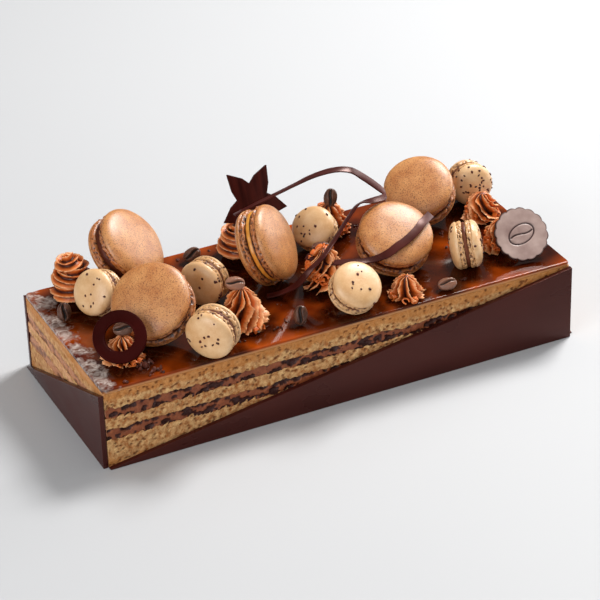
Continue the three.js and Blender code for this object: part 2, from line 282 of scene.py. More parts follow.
def buildGrainGroup():
    # crumb: soft patches, fine flecks and a height for the bump, all on object coordinates
    group = bpy.data.node_groups.new("crumbGrain", "ShaderNodeTree")
    face = group.interface
    for label in ("Patch Size", "Fleck Size", "Fleck Amount"):
        face.new_socket(label, in_out="INPUT", socket_type="NodeSocketFloat")
    for label in ("Patch", "Fleck", "Height"):
        face.new_socket(label, in_out="OUTPUT", socket_type="NodeSocketFloat")
    start = group.nodes.new("NodeGroupInput")
    end = group.nodes.new("NodeGroupOutput")
    patchSize, fleckSize, fleckAmount = (Wire(group, socket) for socket in start.outputs[:3])
    place = objectPlace(group)
    patch = cloud(group, place, calc(group, "DIVIDE", 1.0, patchSize), 3.0, 0.55)
    fine = cloud(group, place, calc(group, "DIVIDE", 1.0, fleckSize), 2.0, 0.6)
    remap(group, patch, 0.3, 0.7).into(end.inputs["Patch"])
    remap(group, fine - (0.72 - fleckAmount), 0.0, 0.07).into(end.inputs["Fleck"])
    fine.into(end.inputs["Height"])
    return group


grainGroup = buildGrainGroup()


def grain(tree, patchSize, fleckSize, fleckAmount):
    node = tree.nodes.new("ShaderNodeGroup")
    node.node_tree = grainGroup
    node.inputs["Patch Size"].default_value = patchSize * mm
    node.inputs["Fleck Size"].default_value = fleckSize * mm
    node.inputs["Fleck Amount"].default_value = fleckAmount
    return {output.name: Wire(tree, output) for output in node.outputs}


def newTree(name, **kinds):
    # a Geometry Nodes tree with one named input for each size, and one geometry out
    tree = bpy.data.node_groups.new(name, "GeometryNodeTree")
    face = tree.interface
    face.new_socket("Geometry", in_out="INPUT", socket_type="NodeSocketGeometry")
    for label, kind in kinds.items():
        face.new_socket(label, in_out="INPUT", socket_type="NodeSocket" + kind)
    face.new_socket("Geometry", in_out="OUTPUT", socket_type="NodeSocketGeometry")
    start = tree.nodes.new("NodeGroupInput")
    return tree, {label: Wire(tree, start.outputs[label]) for label in ("Geometry", *kinds)}


def closeTree(tree, shape, material):
    real = wireFrom(tree, "GeometryNodeRealizeInstances", "Geometry", {"Geometry": shape})
    painted = wireFrom(tree, "GeometryNodeSetMaterial", "Geometry", {
        "Geometry": real, "Material": material})
    painted.into(tree.nodes.new("NodeGroupOutput").inputs["Geometry"])
    return tree


def runTree(piece, tree, **values):
    # sets each input by its socket's identifier, then keeps only the resulting mesh
    modifier = piece.modifiers.new(tree.name, "NODES")
    modifier.node_group = tree
    for item in tree.interface.items_tree:
        if item.item_type == "SOCKET" and item.in_out == "INPUT" and item.name in values:
            modifier[item.identifier] = values[item.name]
    applyModifiers(piece)
    tidySkin(piece)
    return piece


def tidySkin(piece):
    # merges doubled points, then turns all faces outwards
    shape = bmesh.new()
    shape.from_mesh(piece.data)
    bmesh.ops.remove_doubles(shape, verts=shape.verts, dist=0.01 * mm)
    bmesh.ops.dissolve_degenerate(shape, edges=shape.edges, dist=0.005 * mm)
    bmesh.ops.recalc_face_normals(shape, faces=shape.faces)
    shape.to_mesh(piece.data)
    shape.free()
    shadeSmooth(piece.data)


def position(tree):
    return wireFrom(tree, "GeometryNodeInputPosition", "Position")


def splitUp(tree, vector):
    node = addNode(tree, "ShaderNodeSeparateXYZ", {"Vector": vector})
    return [Wire(tree, output) for output in node.outputs]


def combine(tree, x, y, z):
    return wireFrom(tree, "ShaderNodeCombineXYZ", "Vector", {"X": x, "Y": y, "Z": z})


def vectorSum(tree, first, second):
    return wireFrom(tree, "ShaderNodeVectorMath", "Vector", {0: first, 1: second}, operation="ADD")


def vectorScaled(tree, vector, factor):
    return wireFrom(tree, "ShaderNodeVectorMath", "Vector", {0: vector, "Scale": factor},
                    operation="SCALE")


def waver(tree, place, scale, detail=2.0):
    # noise from about -1 to 1
    return remap(tree, cloud(tree, place, scale, detail, 0.6), 0.2, 0.8, -1.0, 1.0)


def polar(tree, reach, angle, up):
    return combine(tree, calc(tree, "COSINE", angle) * reach, calc(tree, "SINE", angle) * reach, up)


def setPlace(tree, shape, place):
    return wireFrom(tree, "GeometryNodeSetPosition", "Geometry", {
        "Geometry": shape, "Position": place})


def setOffset(tree, shape, offset):
    return wireFrom(tree, "GeometryNodeSetPosition", "Geometry", {
        "Geometry": shape, "Offset": offset})


def keepValue(tree, shape, name, value):
    return wireFrom(tree, "GeometryNodeStoreNamedAttribute", "Geometry", {
        "Geometry": shape, "Name": name, "Value": value}, data_type="FLOAT")


def storedValue(tree, name, kind="FLOAT"):
    return wireFrom(tree, "GeometryNodeInputNamedAttribute", "Attribute", {"Name": name},
                    data_type=kind)


def chanceVector(tree, low, high, **inputs):
    return wireFrom(tree, "FunctionNodeRandomValue", "Value", {"Min": low, "Max": high, **inputs},
                    data_type="FLOAT_VECTOR")


def softBar(tree, width, height, rounding):
    # a flat bar's section with rounded corners
    bar = wireFrom(tree, "GeometryNodeCurvePrimitiveQuadrilateral", "Curve", {
        "Width": width, "Height": height})
    return wireFrom(tree, "GeometryNodeFilletCurve", "Curve", {
        "Curve": bar, "Radius": rounding, "Count": 3}, mode="POLY")


def sweep(tree, line, section):
    return wireFrom(tree, "GeometryNodeCurveToMesh", "Mesh", {
        "Curve": line, "Profile Curve": section, "Fill Caps": True})


def resampled(tree, line, count):
    return wireFrom(tree, "GeometryNodeResampleCurve", "Curve", {"Curve": line, "Count": count})


def spreadOn(tree, points, shape, turn, scale):
    return wireFrom(tree, "GeometryNodeInstanceOnPoints", "Instances", {
        "Points": points, "Instance": shape, "Rotation": turn, "Scale": scale})


def turnedBy(tree, shapes, turn):
    return wireFrom(tree, "GeometryNodeRotateInstances", "Instances", {
        "Instances": shapes, "Rotation": turn})


def lump(tree, radius):
    return wireFrom(tree, "GeometryNodeMeshIcoSphere", "Mesh", {
        "Radius": radius, "Subdivisions": 1})


cameraLook = {
    "place": (-0.5437, -1.1585, 0.7926),
    "azimuth": -25.16,
    "elevation": 30.62,
    "roll": -1.8,
    "lens": 149.9,
}
lightLook = {
    "skyLow": 0.14,
    "skyHigh": 0.42,
    "skyTurn": (0.42, 0.8),  # the sky brightens between these heights
    "skyTone": (1.0, 0.97, 0.93, 1.0),
    "lamps": {  # power, place, size, colour
        "key": (33.0, (0.95, 0.42, 1.3), 0.5, (1.0, 0.98, 0.95)),
        "side": (13.0, (1.6, 0.25, 0.5), 0.9, (1, 1, 1)),
        "front": (4.0, (-0.35, -1.5, 1.0), 1.2, (1, 1, 1)),
        "fill": (18.5, (-1.55, -0.75, 0.8), 1.1, (1, 1, 1)),
    },
}


def makeCamera(look):
    data = bpy.data.cameras.new("camera")
    data.lens = look["lens"]
    data.sensor_width = 36
    data.clip_start = 0.05
    data.clip_end = 20
    camera = bpy.data.objects.new("camera", data)
    turn = Matrix.Rotation(math.radians(look["azimuth"]), 4, "Z")
    turn = turn @ Matrix.Rotation(math.radians(90 - look["elevation"]), 4, "X")
    turn = turn @ Matrix.Rotation(math.radians(look["roll"]), 4, "Z")
    camera.matrix_world = Matrix.Translation(look["place"]) @ turn
    bpy.context.scene.collection.objects.link(camera)
    bpy.context.scene.camera = camera


def makeAreaLight(name, power, place, size, color):
    data = bpy.data.lights.new(name, "AREA")
    data.energy = power
    data.size = size
    data.color = color
    light = bpy.data.objects.new(name, data)
    light.location = place
    aim = Vector((0, 0, 0.05)) - Vector(place)
    light.rotation_euler = aim.to_track_quat("-Z", "Y").to_euler()
    bpy.context.scene.collection.objects.link(light)


def makeSky(look):
    # darker towards the horizon, so that the glaze mirrors something dark
    world = bpy.data.worlds.new("softSky")
    bpy.context.scene.world = world
    world.use_nodes = True
    tree = world.node_tree
    direction = wireFrom(tree, "ShaderNodeTexCoord", "Generated")
    height = splitUp(tree, direction)[2]
    low, high = look["skyTurn"]
    strength = remap(tree, height, low, high, look["skyLow"], look["skyHigh"])
    sky = tree.nodes["Background"]
    sky.inputs["Color"].default_value = look["skyTone"]
    strength.into(sky.inputs["Strength"])


def makeFloor():
    reach = 6000
    points = [(-reach, -reach, 0), (reach, -reach, 0), (reach, reach, 0), (-reach, reach, 0)]
    floor = newPiece("floor", points, [(0, 1, 2, 3)])
    material, tree = newMaterial("paleFloor", 0.6)
    shade = cloud(tree, objectPlace(tree), 2.0)
    color = mixColor(tree, shade, paint(186, 188, 192), paint(192, 194, 197))
    color.into(tree.nodes["Principled BSDF"].inputs["Base Color"])
    floor.data.materials.append(material)


makeCamera(cameraLook)
makeSky(lightLook)
for lampName, lamp in lightLook["lamps"].items():
    makeAreaLight(lampName, *lamp)
makeFloor()
bpy.context.scene.view_settings.view_transform = "Standard"
say("camera, light and floor")


sideLook = {
    "step": 0.7,
    "wave": 1.2,
    "waveBands": ((31, 13, 1.0), (57, 3.2, 0.9), (83, 1.3, 0.5)),  # seed, size, share
    "cornerRadius": 1.0,
    "porePerSquareCm": 26,
    "poreSizes": (0.3, 0.35, 0.4, 0.5, 0.8),
    "cavityPerSquareCm": 24,
    "cavitySizes": (0.35, 0.5, 0.7, 0.9, 1.2, 1.6, 2.1),
    "aspect": 1.5,  # pores and cavities are this much longer than high
    "raggedShare": 0.45,  # how uneven their rims are
    "fineRough": 0.55,
    "coarseRough": 0.6,
    "creamInset": 0.3,
    "spongeInset": 0.05,
    "smearedPores": 0.8,  # how much of the depth and roughness the knife took at the ends
    "smearedRough": 0.6,
    "seed": 4,
}
cakeTones = {
    "sponge": ((162, 96, 46), (224, 182, 126)),
    "crumb": (136, 80, 36),
    "baked": (192, 124, 62),
    # painted shade deep in the pores
    "spongePoreShade": (100, 46, 18),
    "smear": (232, 176, 136),
    "cream": ((114, 52, 26), (152, 84, 46)),
    "calmCream": (226, 160, 118),
    "creamFleck": (76, 28, 12),
    # painted shade deep in the cavities
    "creamCavityShade": (56, 16, 8),
}
layerNames = ["sponge_bottom", "cream_lower", "sponge_middle", "cream_upper", "sponge_top"]


def perimeter(halfX, halfY, radius, step):
    # points and outward directions round a rectangle with softened corners
    places = []
    outwards = []
    ends = []
    for signX, signY, startAngle in ((1, -1, -90), (1, 1, 0), (-1, 1, 90), (-1, -1, 180)):
        middle = np.array([signX * (halfX - radius), signY * (halfY - radius)])
        arc = []
        for part in range(4):
            angle = math.radians(startAngle + part * 30)
            direction = np.array([math.cos(angle), math.sin(angle)])
            arc.append((middle + radius * direction, direction))
        ends.append(arc)
    for index, arc in enumerate(ends):
        for place, direction in arc:
            places.append(place)
            outwards.append(direction)
        nextPlace, nextDirection = ends[(index + 1) % 4][0]
        place = arc[-1][0]
        count = int(np.linalg.norm(nextPlace - place) / step)
        for part in range(1, count):
            places.append(place + (nextPlace - place) * part / count)
            outwards.append(nextDirection)
    return np.array(places), np.array(outwards)


def boundaryWave(places, level, look):
    wave = np.zeros(len(places))
    if level > 0:  # the cake stands on a straight edge
        for seed, size, share in look["waveBands"]:
            wave += share * np.array([noiseAt(x, y, level * seed, size) for x, y in places])
    return look["wave"] * wave


def dig(depth, along, up, pores, ragged, look):
    # presses an uneven hollow into the side for every pore
    length = along[-1]
    aspect = look["aspect"]
    for position, height, radius, deep in pores:
        gap = np.abs(along - position)
        gap = np.minimum(gap, length - gap)
        near = np.where(gap < radius * aspect * 1.6)[0]
        if len(near) == 0:
            continue
        flat = (gap[near][None, :] / aspect) ** 2
        distance = np.sqrt(flat + (up[:, near] - height) ** 2) / radius
        distance = distance * (1 + look["raggedShare"] * ragged[:, near])
        hollow = deep * np.sqrt(np.clip(1 - distance ** 2, 0, 1))
        depth[:, near] = np.maximum(depth[:, near], hollow)


def scatterPores(isCream, low, high, length, look, draw):
    # cavities lie mostly where cream and sponge meet, pores anywhere in the sponge
    area = length * (high - low) / 100
    count = int(area * (look["cavityPerSquareCm"] if isCream else look["porePerSquareCm"]))
    pores = []
    for _ in range(count):
        position = draw.uniform(0, length)
        if isCream:
            radius = draw.choice(look["cavitySizes"])
            height = draw.choice((low, high)) + draw.gauss(0, 1.7)
            pores.append((position, height, radius, radius * 0.95))
        else:
            radius = draw.choice(look["poreSizes"])
            height = draw.uniform(low + 0.4, high - 0.4)
            pores.append((position, height, radius, radius * 0.9))
    return pores


def makeLayer(name, level, places, outwards, waves, look, draw):
    low, high = (corner[2] for corner in nodeBox(name))
    isCream = name.startswith("cream")
    rows = max(8, int((high - low) / look["step"]) + 2)
    steps = np.linalg.norm(np.roll(places, -1, axis=0) - places, axis=1)
    along = np.concatenate([[0], np.cumsum(steps)[:-1]])
    share = np.linspace(0, 1, rows)[:, None]
    calm = np.abs(outwards[:, 0])  # the two short ends were smeared smooth by the knife
    grid = np.empty((rows, len(places), 3))
    grid[:, :, :2] = places
    grid[:, :, 2] = (low + waves[level]) * (1 - share) + (high + waves[level + 1]) * share

    def field(size, seed, spread=(1, 1, 1)):
        return fieldNoise(grid.reshape(-1, 3) * spread, size, seed).reshape(grid.shape[:2])

    pores = scatterPores(isCream, low, high, along[-1], look, draw)
    depth = np.zeros(grid.shape[:2])
    dig(depth, along, grid[:, :, 2], pores, field(1.7, level + 21), look)
    depth = depth * (1 - look["smearedPores"] * calm)
    rough = np.abs(field(1.3, level)) * look["fineRough"]
    rough = rough + np.abs(field(4.5, level + 9)) * look["coarseRough"]
    inset = look["creamInset"] if isCream else look["spongeInset"]
    inward = inset + rough * (1 - look["smearedRough"] * calm) + depth
    # the first and last row stay near the edge, so that the layers meet
    fade = np.minimum(share, 1 - share) * (rows - 1)
    inward = np.where(fade < 0.5, np.minimum(inward, 0.5), inward)
    grid[:, :, :2] -= inward[:, :, None] * outwards
    sway = field(9, level + 3, (1, 1, 0)) * 0.25
    baked = np.zeros(grid.shape[:2])
    if name == "sponge_top":  # soaked upper half
        baked = np.clip((share + sway - 0.42) / 0.16, 0, 1)
    elif name == "sponge_bottom":  # browned underside
        baked = np.clip((0.3 - share + sway) / 0.14, 0, 1)
    points = np.concatenate([grid.reshape(-1, 3), [[0, 0, low], [0, 0, high]]])
    # the depth of each pore is kept for the painted shade in it
    return newPiece(name.replace("_", "-") + "-cut", points, ringFaces(rows, len(places)),
                    hollow=withPoles(np.clip(depth / 0.8, 0, 1)), baked=withPoles(baked),
                    calm=withPoles(np.tile(calm, rows)))


def smearOver(tree, color, calm, amount, tone):
    # cream dragged over the short ends by the knife
    drag = cloud(tree, stretchedPlace(tree, (60, 45, 260)), 1.0, 3.0)
    share = remap(tree, drag, 0.42, 0.62, 0.0, amount)
    return mixColor(tree, share * calm, color, tone)


def spongeMaterial(name, smear, tones):
    material, tree = newMaterial(name, 0.85, Specular_IOR_Level=0.2)
    grains = grain(tree, 2.6, 0.6, 0.12)
    calm = namedValue(tree, "calm")
    crumb = grains["Fleck"] * 0.42 * remap(tree, calm, 0.0, 1.0, 1.0, 0.35)
    color = layered(tree, mixColor(tree, grains["Patch"], *tones["sponge"]),
                    (crumb, tones["crumb"]), (namedValue(tree, "baked") * 0.72, tones["baked"]))
    color = smearOver(tree, color, calm, smear, tones["smear"])
    # painted shade in the pores, darker the deeper they go
    hollow = remap(tree, namedValue(tree, "hollow"), 0.2, 1.0)
    color = mixColor(tree, hollow, color, tones["spongePoreShade"])
    return dress(material, color, grains["Height"], 0.8, 0.5)


def creamMaterial(tones):
    material, tree = newMaterial("coffeeCream", 0.5, Specular_IOR_Level=0.4)
    grains = grain(tree, 5.0, 0.9, 0.08)
    color = layered(tree, mixColor(tree, grains["Patch"], *tones["cream"]),
                    (namedValue(tree, "calm") * 0.6, tones["calmCream"]),
                    (grains["Fleck"] * 0.5, tones["creamFleck"]),
                    # painted shade in the cavities, darker the deeper they go
                    (remap(tree, namedValue(tree, "hollow"), 0.05, 0.7), tones["creamCavityShade"]))
    return dress(material, color, grains["Height"], 0.6, 0.4)


def makeLayers(look, tones):
    high = nodeBox("sponge_bottom")[1]
    places, outwards = perimeter(high[0], high[1], look["cornerRadius"], look["step"])
    waves = [boundaryWave(places, level, look) for level in range(len(layerNames) + 1)]
    waves[-1] = waves[-1] * 0.3  # the glaze covers this one
    draw = random.Random(look["seed"])
    sponge = spongeMaterial("almondSponge", 0.35, tones)
    coveredSponge = spongeMaterial("creamedSponge", 0.9, tones)
    cream = creamMaterial(tones)
    for level, name in enumerate(layerNames):
        piece = makeLayer(name, level, places, outwards, waves, look, draw)
        if name.startswith("cream"):
            finishPiece(piece, cream, "coffee_cream", name)
        elif name == "sponge_middle":
            finishPiece(piece, coveredSponge, "sponge", name)
        else:
            finishPiece(piece, sponge, "sponge", name)


makeLayers(sideLook, painted(cakeTones))
say("cake layers")


glazeLook = {
    "step": 1.6,
    "rim": 1.0,
    "glassy": 1.3,  # thickness of the clear upper part where the side is cut
    "ripple": 0.1,
    "crinkle": 0.4,
    "crinkleWidth": 17,
    "shelterReach": 10.5,  # how far the painted shade around each topping spreads
    "macaronShadeReach": 16.5,
    "shelterHeight": 16.0,
}
glazeTones = {
    # random patches: partly the glaze's own uneven colour, partly painted light and reflection
    "patch": ((72, 14, 3), (214, 92, 15)),
    # painted shade and painted dark reflection round the toppings
    "shelter": (27, 4, 2),
    "cut": (196, 136, 82),
    # dark and light tone of the painted reflection near the left end
    "film": ((104, 76, 66), (204, 192, 184)),
}


def shelteredShare(points, look):
    # painted shade and painted dark reflection: 1 close beside a topping, 0 out in the open
    top = nodeBox("glaze")[1][2]
    shelter = np.zeros(len(points))
    for name in nodes.keys():
        if not name.startswith(("macaron", "mini", "rosette", "bean", "chocolate", "scalloped")):
            continue
        solid = nodePoints(name)
        low = solid[solid[:, 2] < top + look["shelterHeight"]]
        if len(low) == 0:
            continue
        away = np.linalg.norm(points[:, None, :2] - low[None, :, :2], axis=2).min(axis=1)
        reach = look["macaronShadeReach"] if name.startswith("macaron") else look["shelterReach"]
        shelter = np.maximum(shelter, np.exp(-(away / reach) ** 2))
    return shelter


def glazeMaterial(tones):
    material, tree = newMaterial("caramelGlaze", 0.07, IOR=1.45, Specular_IOR_Level=0.3,
                                 Coat_Weight=0.08, Coat_Roughness=0.04)
    patch = grain(tree, 45.0, 1.2, 0.1)["Patch"]
    # random patches from a deep to a bright tone: partly the glaze's own colour, partly painted
    # light and reflection
    color = layered(tree, mixColor(tree, patch, *tones["patch"]),
                    # painted shade and painted dark reflection round the toppings
                    (namedValue(tree, "shelter") * 0.94, tones["shelter"]),
                    (namedValue(tree, "cut") * 0.9, tones["cut"]))
    # painted reflection: broken grey-white patches near the left end
    spots = cloud(tree, objectPlace(tree), 105.0, 3.0, 0.6)
    film = remap(tree, namedValue(tree, "film") * 0.42 + spots, 0.79, 0.94)
    creases = cloud(tree, objectPlace(tree), 150.0, 2.0, 0.5, 2.2)
    sheen = mixColor(tree, remap(tree, creases, 0.34, 0.64), *tones["film"])
    sockets = tree.nodes["Principled BSDF"].inputs
    mixColor(tree, film * 0.76, color, sheen).into(sockets["Base Color"])
    remap(tree, film, 0.0, 1.0, 0.07, 0.25).into(sockets["Roughness"])
    return material


def makeGlaze(look, tones):
    low, high = nodeBox("glaze")
    halfX, halfY = high[0], high[1]
    places, outwards = perimeter(halfX, halfY, 2.2, look["step"])
    rim = look["rim"]
    thickness = high[2] - low[2]
    # side, rounded rim, then rings that close in over the top
    profile = [(0.5, 0), (0.3, 0.3), (0.2, 0.8), (0.2, 1.3), (0.15, thickness - rim)]
    for turn in (22, 45, 67, 90):
        angle = math.radians(turn)
        inset = 0.15 + rim * (1 - math.cos(angle))
        profile.append((inset, thickness - rim * (1 - math.sin(angle))))
    profile += [(inset, thickness) for inset in (1.6, 2.2, 3, 4, 5, 6.5, 8, 10, 12, 14, 17, 20)]
    profile += [(inset, thickness) for inset in range(23, 60, 3)]
    rings = []
    for inset, height in profile:
        x = places[:, 0] * (halfX - inset) / halfX
        y = places[:, 1] * (halfY - inset) / halfY
        rings.append(np.stack([x, y, np.full(len(x), low[2] + height)], axis=1))
    points = np.concatenate(rings)
    # how crinkled the glaze is near the left end; the same share places the painted reflection
    fromLeft = (points[:, 0] + halfX) / look["crinkleWidth"]
    crinkled = np.clip(1.6 * (1 - fromLeft), 0, 1)
    swell = fieldNoise(points, 26, 3) * look["ripple"]
    creases = np.abs(fieldNoise(points * (1, 0.6, 0), 5.5, 8)) * 2 - 0.5
    onTop = np.clip((points[:, 2] - low[2] - thickness + rim) / rim, 0, 1)
    lift = swell - look["ripple"] + creases * crinkled * look["crinkle"]
    points[:, 2] += onTop * np.minimum(lift, 0.02)
    points = np.concatenate([points, [[0, 0, low[2]], [0, 0, high[2] - 0.1]]])
    glassyFrom = high[2] - look["glassy"]
    depthDown = np.clip((glassyFrom - points[:, 2]) / 0.5, 0, 1)
    lengthways = np.concatenate([np.tile(np.abs(outwards[:, 1]), len(rings)), [1, 0]])
    # the points carry the painted shade round the toppings and where the painted reflection lies
    piece = newPiece("mirror-glaze", points, ringFaces(len(rings), len(places)),
                     cut=depthDown * lengthways, film=withPoles(crinkled),
                     shelter=shelteredShare(points, look))
    finishPiece(piece, glazeMaterial(tones), "mirror_glaze", "glaze")


makeGlaze(glazeLook, painted(glazeTones))
say("mirror glaze")


panelBevel = 0.45
# dark and light tone, roughness, how fine the streaks are each way, bump, mirror strength
chocolateLook = {
    "panelChocolate": ((54, 17, 13), (66, 24, 19), 0.3, (16, 16, 40), 0.03, 0.35),
    "ganache": ((58, 20, 10), (84, 38, 20), 0.4, (90, 90, 90), 0.08, 0.35),
    "coffeeFilling": ((86, 44, 28), (118, 68, 46), 0.5, (90, 90, 90), 0.08, 0.35),
    "starChocolate": ((40, 7, 4), (64, 17, 9), 0.55, (260, 60, 30), 0.3, 0.1),
    "ringChocolate": ((42, 4, 3), (56, 8, 6), 0.42, (40, 40, 40), 0.03, 0.07),
    "curlChocolate": ((46, 11, 9), (78, 30, 25), 0.3, (40, 40, 40), 0.04, 0.35),
}


def cadCopy(name, pieceName):
    mesh = nodes[name].data.copy()
    piece = bpy.data.objects.new(pieceName, mesh)
    bpy.context.scene.collection.objects.link(piece)
    mesh.materials.clear()
    tidySkin(piece)
    return piece


def dissolveFlat(piece):
    shape = bmesh.new()
    shape.from_mesh(piece.data)
    bmesh.ops.dissolve_limit(
        shape, angle_limit=math.radians(1), verts=shape.verts, edges=shape.edges)
    shape.to_mesh(piece.data)
    shape.free()


def softenEdges(piece, width):
    bevel = piece.modifiers.new("soften", "BEVEL")
    bevel.width = width * mm
    bevel.segments = 3
    bevel.limit_method = "ANGLE"
    bevel.angle_limit = math.radians(35)
    bevel.harden_normals = True
    applyModifiers(piece)
    shadeSmooth(piece.data)


def chocolateMaterial(name):
    # two close tones in streaks, with a slightly uneven sheen
    dark, light, roughness, streak, bump, specular = chocolateLook[name]
    material, tree = newMaterial(name, roughness, Specular_IOR_Level=specular,
                                 Specular_Tint=(1.0, 0.62, 0.56, 1.0))
    streaks = cloud(tree, stretchedPlace(tree, streak), 1.0, 4.0)
    sheen = remap(tree, streaks, 0.3, 0.7, roughness * 0.75, roughness * 1.3)
    sheen.into(tree.nodes["Principled BSDF"].inputs["Roughness"])
    color = mixColor(tree, remap(tree, streaks, 0.35, 0.7), paint(*dark), paint(*light))
    return dress(material, color, streaks, bump, 0.4)


def makePanels(bevel):
    material = chocolateMaterial("panelChocolate")
    for side in ("front", "right", "back", "left"):
        piece = cadCopy(f"panel_{side}", f"panel-{side}-sheet")
        dissolveFlat(piece)
        softenEdges(piece, bevel)
        finishPiece(piece, material, "chocolate_panel", f"panel_{side}")


makePanels(panelBevel)
say("chocolate panels")


shellLook = {
    "sides": 160,
    "footShare": 0.32,
    "footRagged": 0.85,
    "holeFrom": 0.12,  # the foot has a hole where its noise is above this
    "holeDepth": 3.2,
    "domeRings": 26,
    "footRings": 13,
    "squareness": 2.4,
}
caramelNumber = 3  # the one large macaron filled with caramel
shellSide = (0.3, 0.2, 1)  # where a shell's first point lies round its axis
# base, light patches, dark flecks, foot, painted shade in the holes of the foot
almondTones = ((176, 107, 51), (207, 146, 87), (120, 64, 28), (172, 98, 44), (56, 18, 7))


def shellPoints(radius, thickness, look, seed):
    # flat face at height 0, dome up; returns points, hollow and foot values, number of rings
    foot = thickness * look["footShare"]
    sides = look["sides"]
    rings = [(0.6 * radius, 0.15, 0.0, 0.0), (0.9 * radius, 0.05, 0.1, 0.3)]
    for step in range(look["footRings"]):
        share = step / (look["footRings"] - 1)
        bulge = math.sin(math.pi * min(share * 1.1, 1.0)) ** 0.5 if share < 0.9 else 0.3
        rings.append((radius * (0.95 + 0.045 * bulge), foot * share, 1.0, 1.0))
    power = 2 / look["squareness"]
    rise = thickness - foot
    for step in range(look["domeRings"]):
        angle = (step + 0.3) / look["domeRings"] * math.pi / 2
        across = radius * math.cos(angle) ** power
        rings.append((across, foot + rise * math.sin(angle) ** power, 0.0, 0.0))
    points = []
    hollows = []
    feet = []
    for across, up, ragged, footness in rings:
        for x, y in circle(sides):
            reach = across * (1 + 0.014 * noiseAt(x * radius, y * radius, seed * 7, 16, seed))
            hollow = 0.0
            height = up
            if ragged > 0:
                knob = noiseAt(x * radius, y * radius, up, 1.8, seed + 3)
                hole = noiseAt(x * radius, y * radius, up * 1.3, 1.3, seed + 11)
                reach += look["footRagged"] * ragged * knob
                if hole > look["holeFrom"]:
                    reach -= look["holeDepth"] * (hole - look["holeFrom"])
                    hollow = min(1.0, (hole - look["holeFrom"]) * 6)
                height += 0.4 * noiseAt(x * radius, y * radius, up, 2.6, seed + 5)
            else:
                sway = noiseAt(x * across, y * across, 0, 11, seed + 1)
                height += 0.3 * sway * (up / thickness)
            points.append((x * reach, y * reach, height))
            hollows.append(hollow)
            feet.append(footness)
    points += [(0, 0, 0.2), (0, 0, thickness + 0.3 * noiseAt(0, 0, 0, 11, seed + 1))]
    return np.array(points), hollows + [0, 0], feet + [0, 0], len(rings)


def shellMaterial(name, tones, fleckAmount, roughness):
    base, light, fleck, footTone, holeShadeTone = (paint(*tone) for tone in tones)
    material, tree = newMaterial(name, roughness, Specular_IOR_Level=0.8)
    grains = grain(tree, 8.0, 0.75, fleckAmount)
    color = layered(tree, mixColor(tree, grains["Patch"], base, light),
                    (grains["Fleck"] * 0.75, fleck),
                    (remap(tree, grains["Height"], 0.28, 0.45, 0.55, 0.0), light),
                    (namedValue(tree, "foot") * 0.75, footTone),
                    # painted shade in the holes of the foot
                    (namedValue(tree, "hollow"), holeShadeTone))
    return dress(material, color, grains["Height"], 0.45, 0.3)


def fillingPoints(radius, thickness, sides, seed):
    profile = [(0.7, -0.5), (0.965, -0.5), (0.99, -0.3), (1.0, -0.1), (1.0, 0.12), (0.985, 0.32),
               (0.96, 0.5), (0.7, 0.5)]
    points = []
    for across, up in profile:
        for x, y in circle(sides):
            reach = radius * across + 0.5 * noiseAt(x * radius, y * radius, up * 3, 3.5, seed)
            points.append((x * reach, y * reach, up * thickness))
    points += [(0, 0, -0.5 * thickness), (0, 0, 0.5 * thickness)]
    return np.array(points), len(profile)


def caramelMaterial():
    # a bright stripe between two thin dark lines
    material, tree = newMaterial("caramel", 0.3, Specular_IOR_Level=0.5)
    patch = grain(tree, 4.0, 0.8, 0.05)["Patch"]
    stripe = mixColor(tree, patch, paint(206, 126, 36), paint(228, 160, 66))
    edge = remap(tree, namedValue(tree, "height"), 0.2, 0.3)
    color = mixColor(tree, edge, stripe, paint(66, 22, 10))
    color.into(tree.nodes["Principled BSDF"].inputs["Base Color"])
    return material


def makeMacarons(look):
    shells = shellMaterial("almondShell", almondTones, 0.17, 0.4)
    ganache = chocolateMaterial("ganache")
    caramel = caramelMaterial()
    for number in range(1, 6):
        stem = f"macaron_{number}"
        front = nodePoints(stem + "_shell_front")
        back = nodePoints(stem + "_shell_back")
        axis = front.mean(axis=0) - back.mean(axis=0)
        axis = axis / np.linalg.norm(axis)
        middle = (front.mean(axis=0) + back.mean(axis=0)) / 2
        for side, direction, cad in (("front", axis, front), ("back", -axis, back)):
            up = (cad - middle) @ direction
            radius = np.linalg.norm((cad - middle) - np.outer(up, direction), axis=1).max()
            points, hollow, foot, rings = shellPoints(
                radius, up.max() - up.min(), look, number * 5 + len(side))
            turn = frameFrom(direction, shellSide)
            piece = newPiece(f"macaron-{number}-shell-{side}",
                             moved(points, turn, middle + direction * up.min()),
                             ringFaces(rings, look["sides"]), hollow=hollow, foot=foot)
            finishPiece(piece, shells, "almond_shell", f"{stem}_shell_{side}")
        halfGap = up.min()
        fill, rings = fillingPoints(radius - 1.3, halfGap * 2 + 0.3, 96, number)
        piece = newPiece(f"macaron-{number}-filling",
                         moved(fill, frameFrom(axis, shellSide), middle), ringFaces(rings, 96),
                         height=np.abs(fill[:, 2]) / (halfGap * 2))
        filling, slot = ganache, "ganache_filling"
        if number == caramelNumber:
            filling, slot = caramel, "caramel_filling"
        finishPiece(piece, filling, slot, f"{stem}_filling")


makeMacarons(shellLook)
say("large macarons")


miniLook = {
    "fillingShare": 0.12,
    "facing": {
        1: (-0.797, -0.402, 0.45),
        2: (-0.826, -0.562, 0.053),
        3: (-0.763, -0.648, -0.027),
        4: (-0.513, -0.438, 0.735),
        5: (-0.1, -0.97, 0.2),
        6: (0.896, -0.423, 0.144),
        7: (0.064, -0.615, 0.786),
    },
}
# the same five tones for the small macarons; the last is painted shade in the holes of the foot
ivoryTones = ((212, 162, 108), (232, 192, 144), (192, 138, 84), (208, 158, 104), (100, 50, 22))
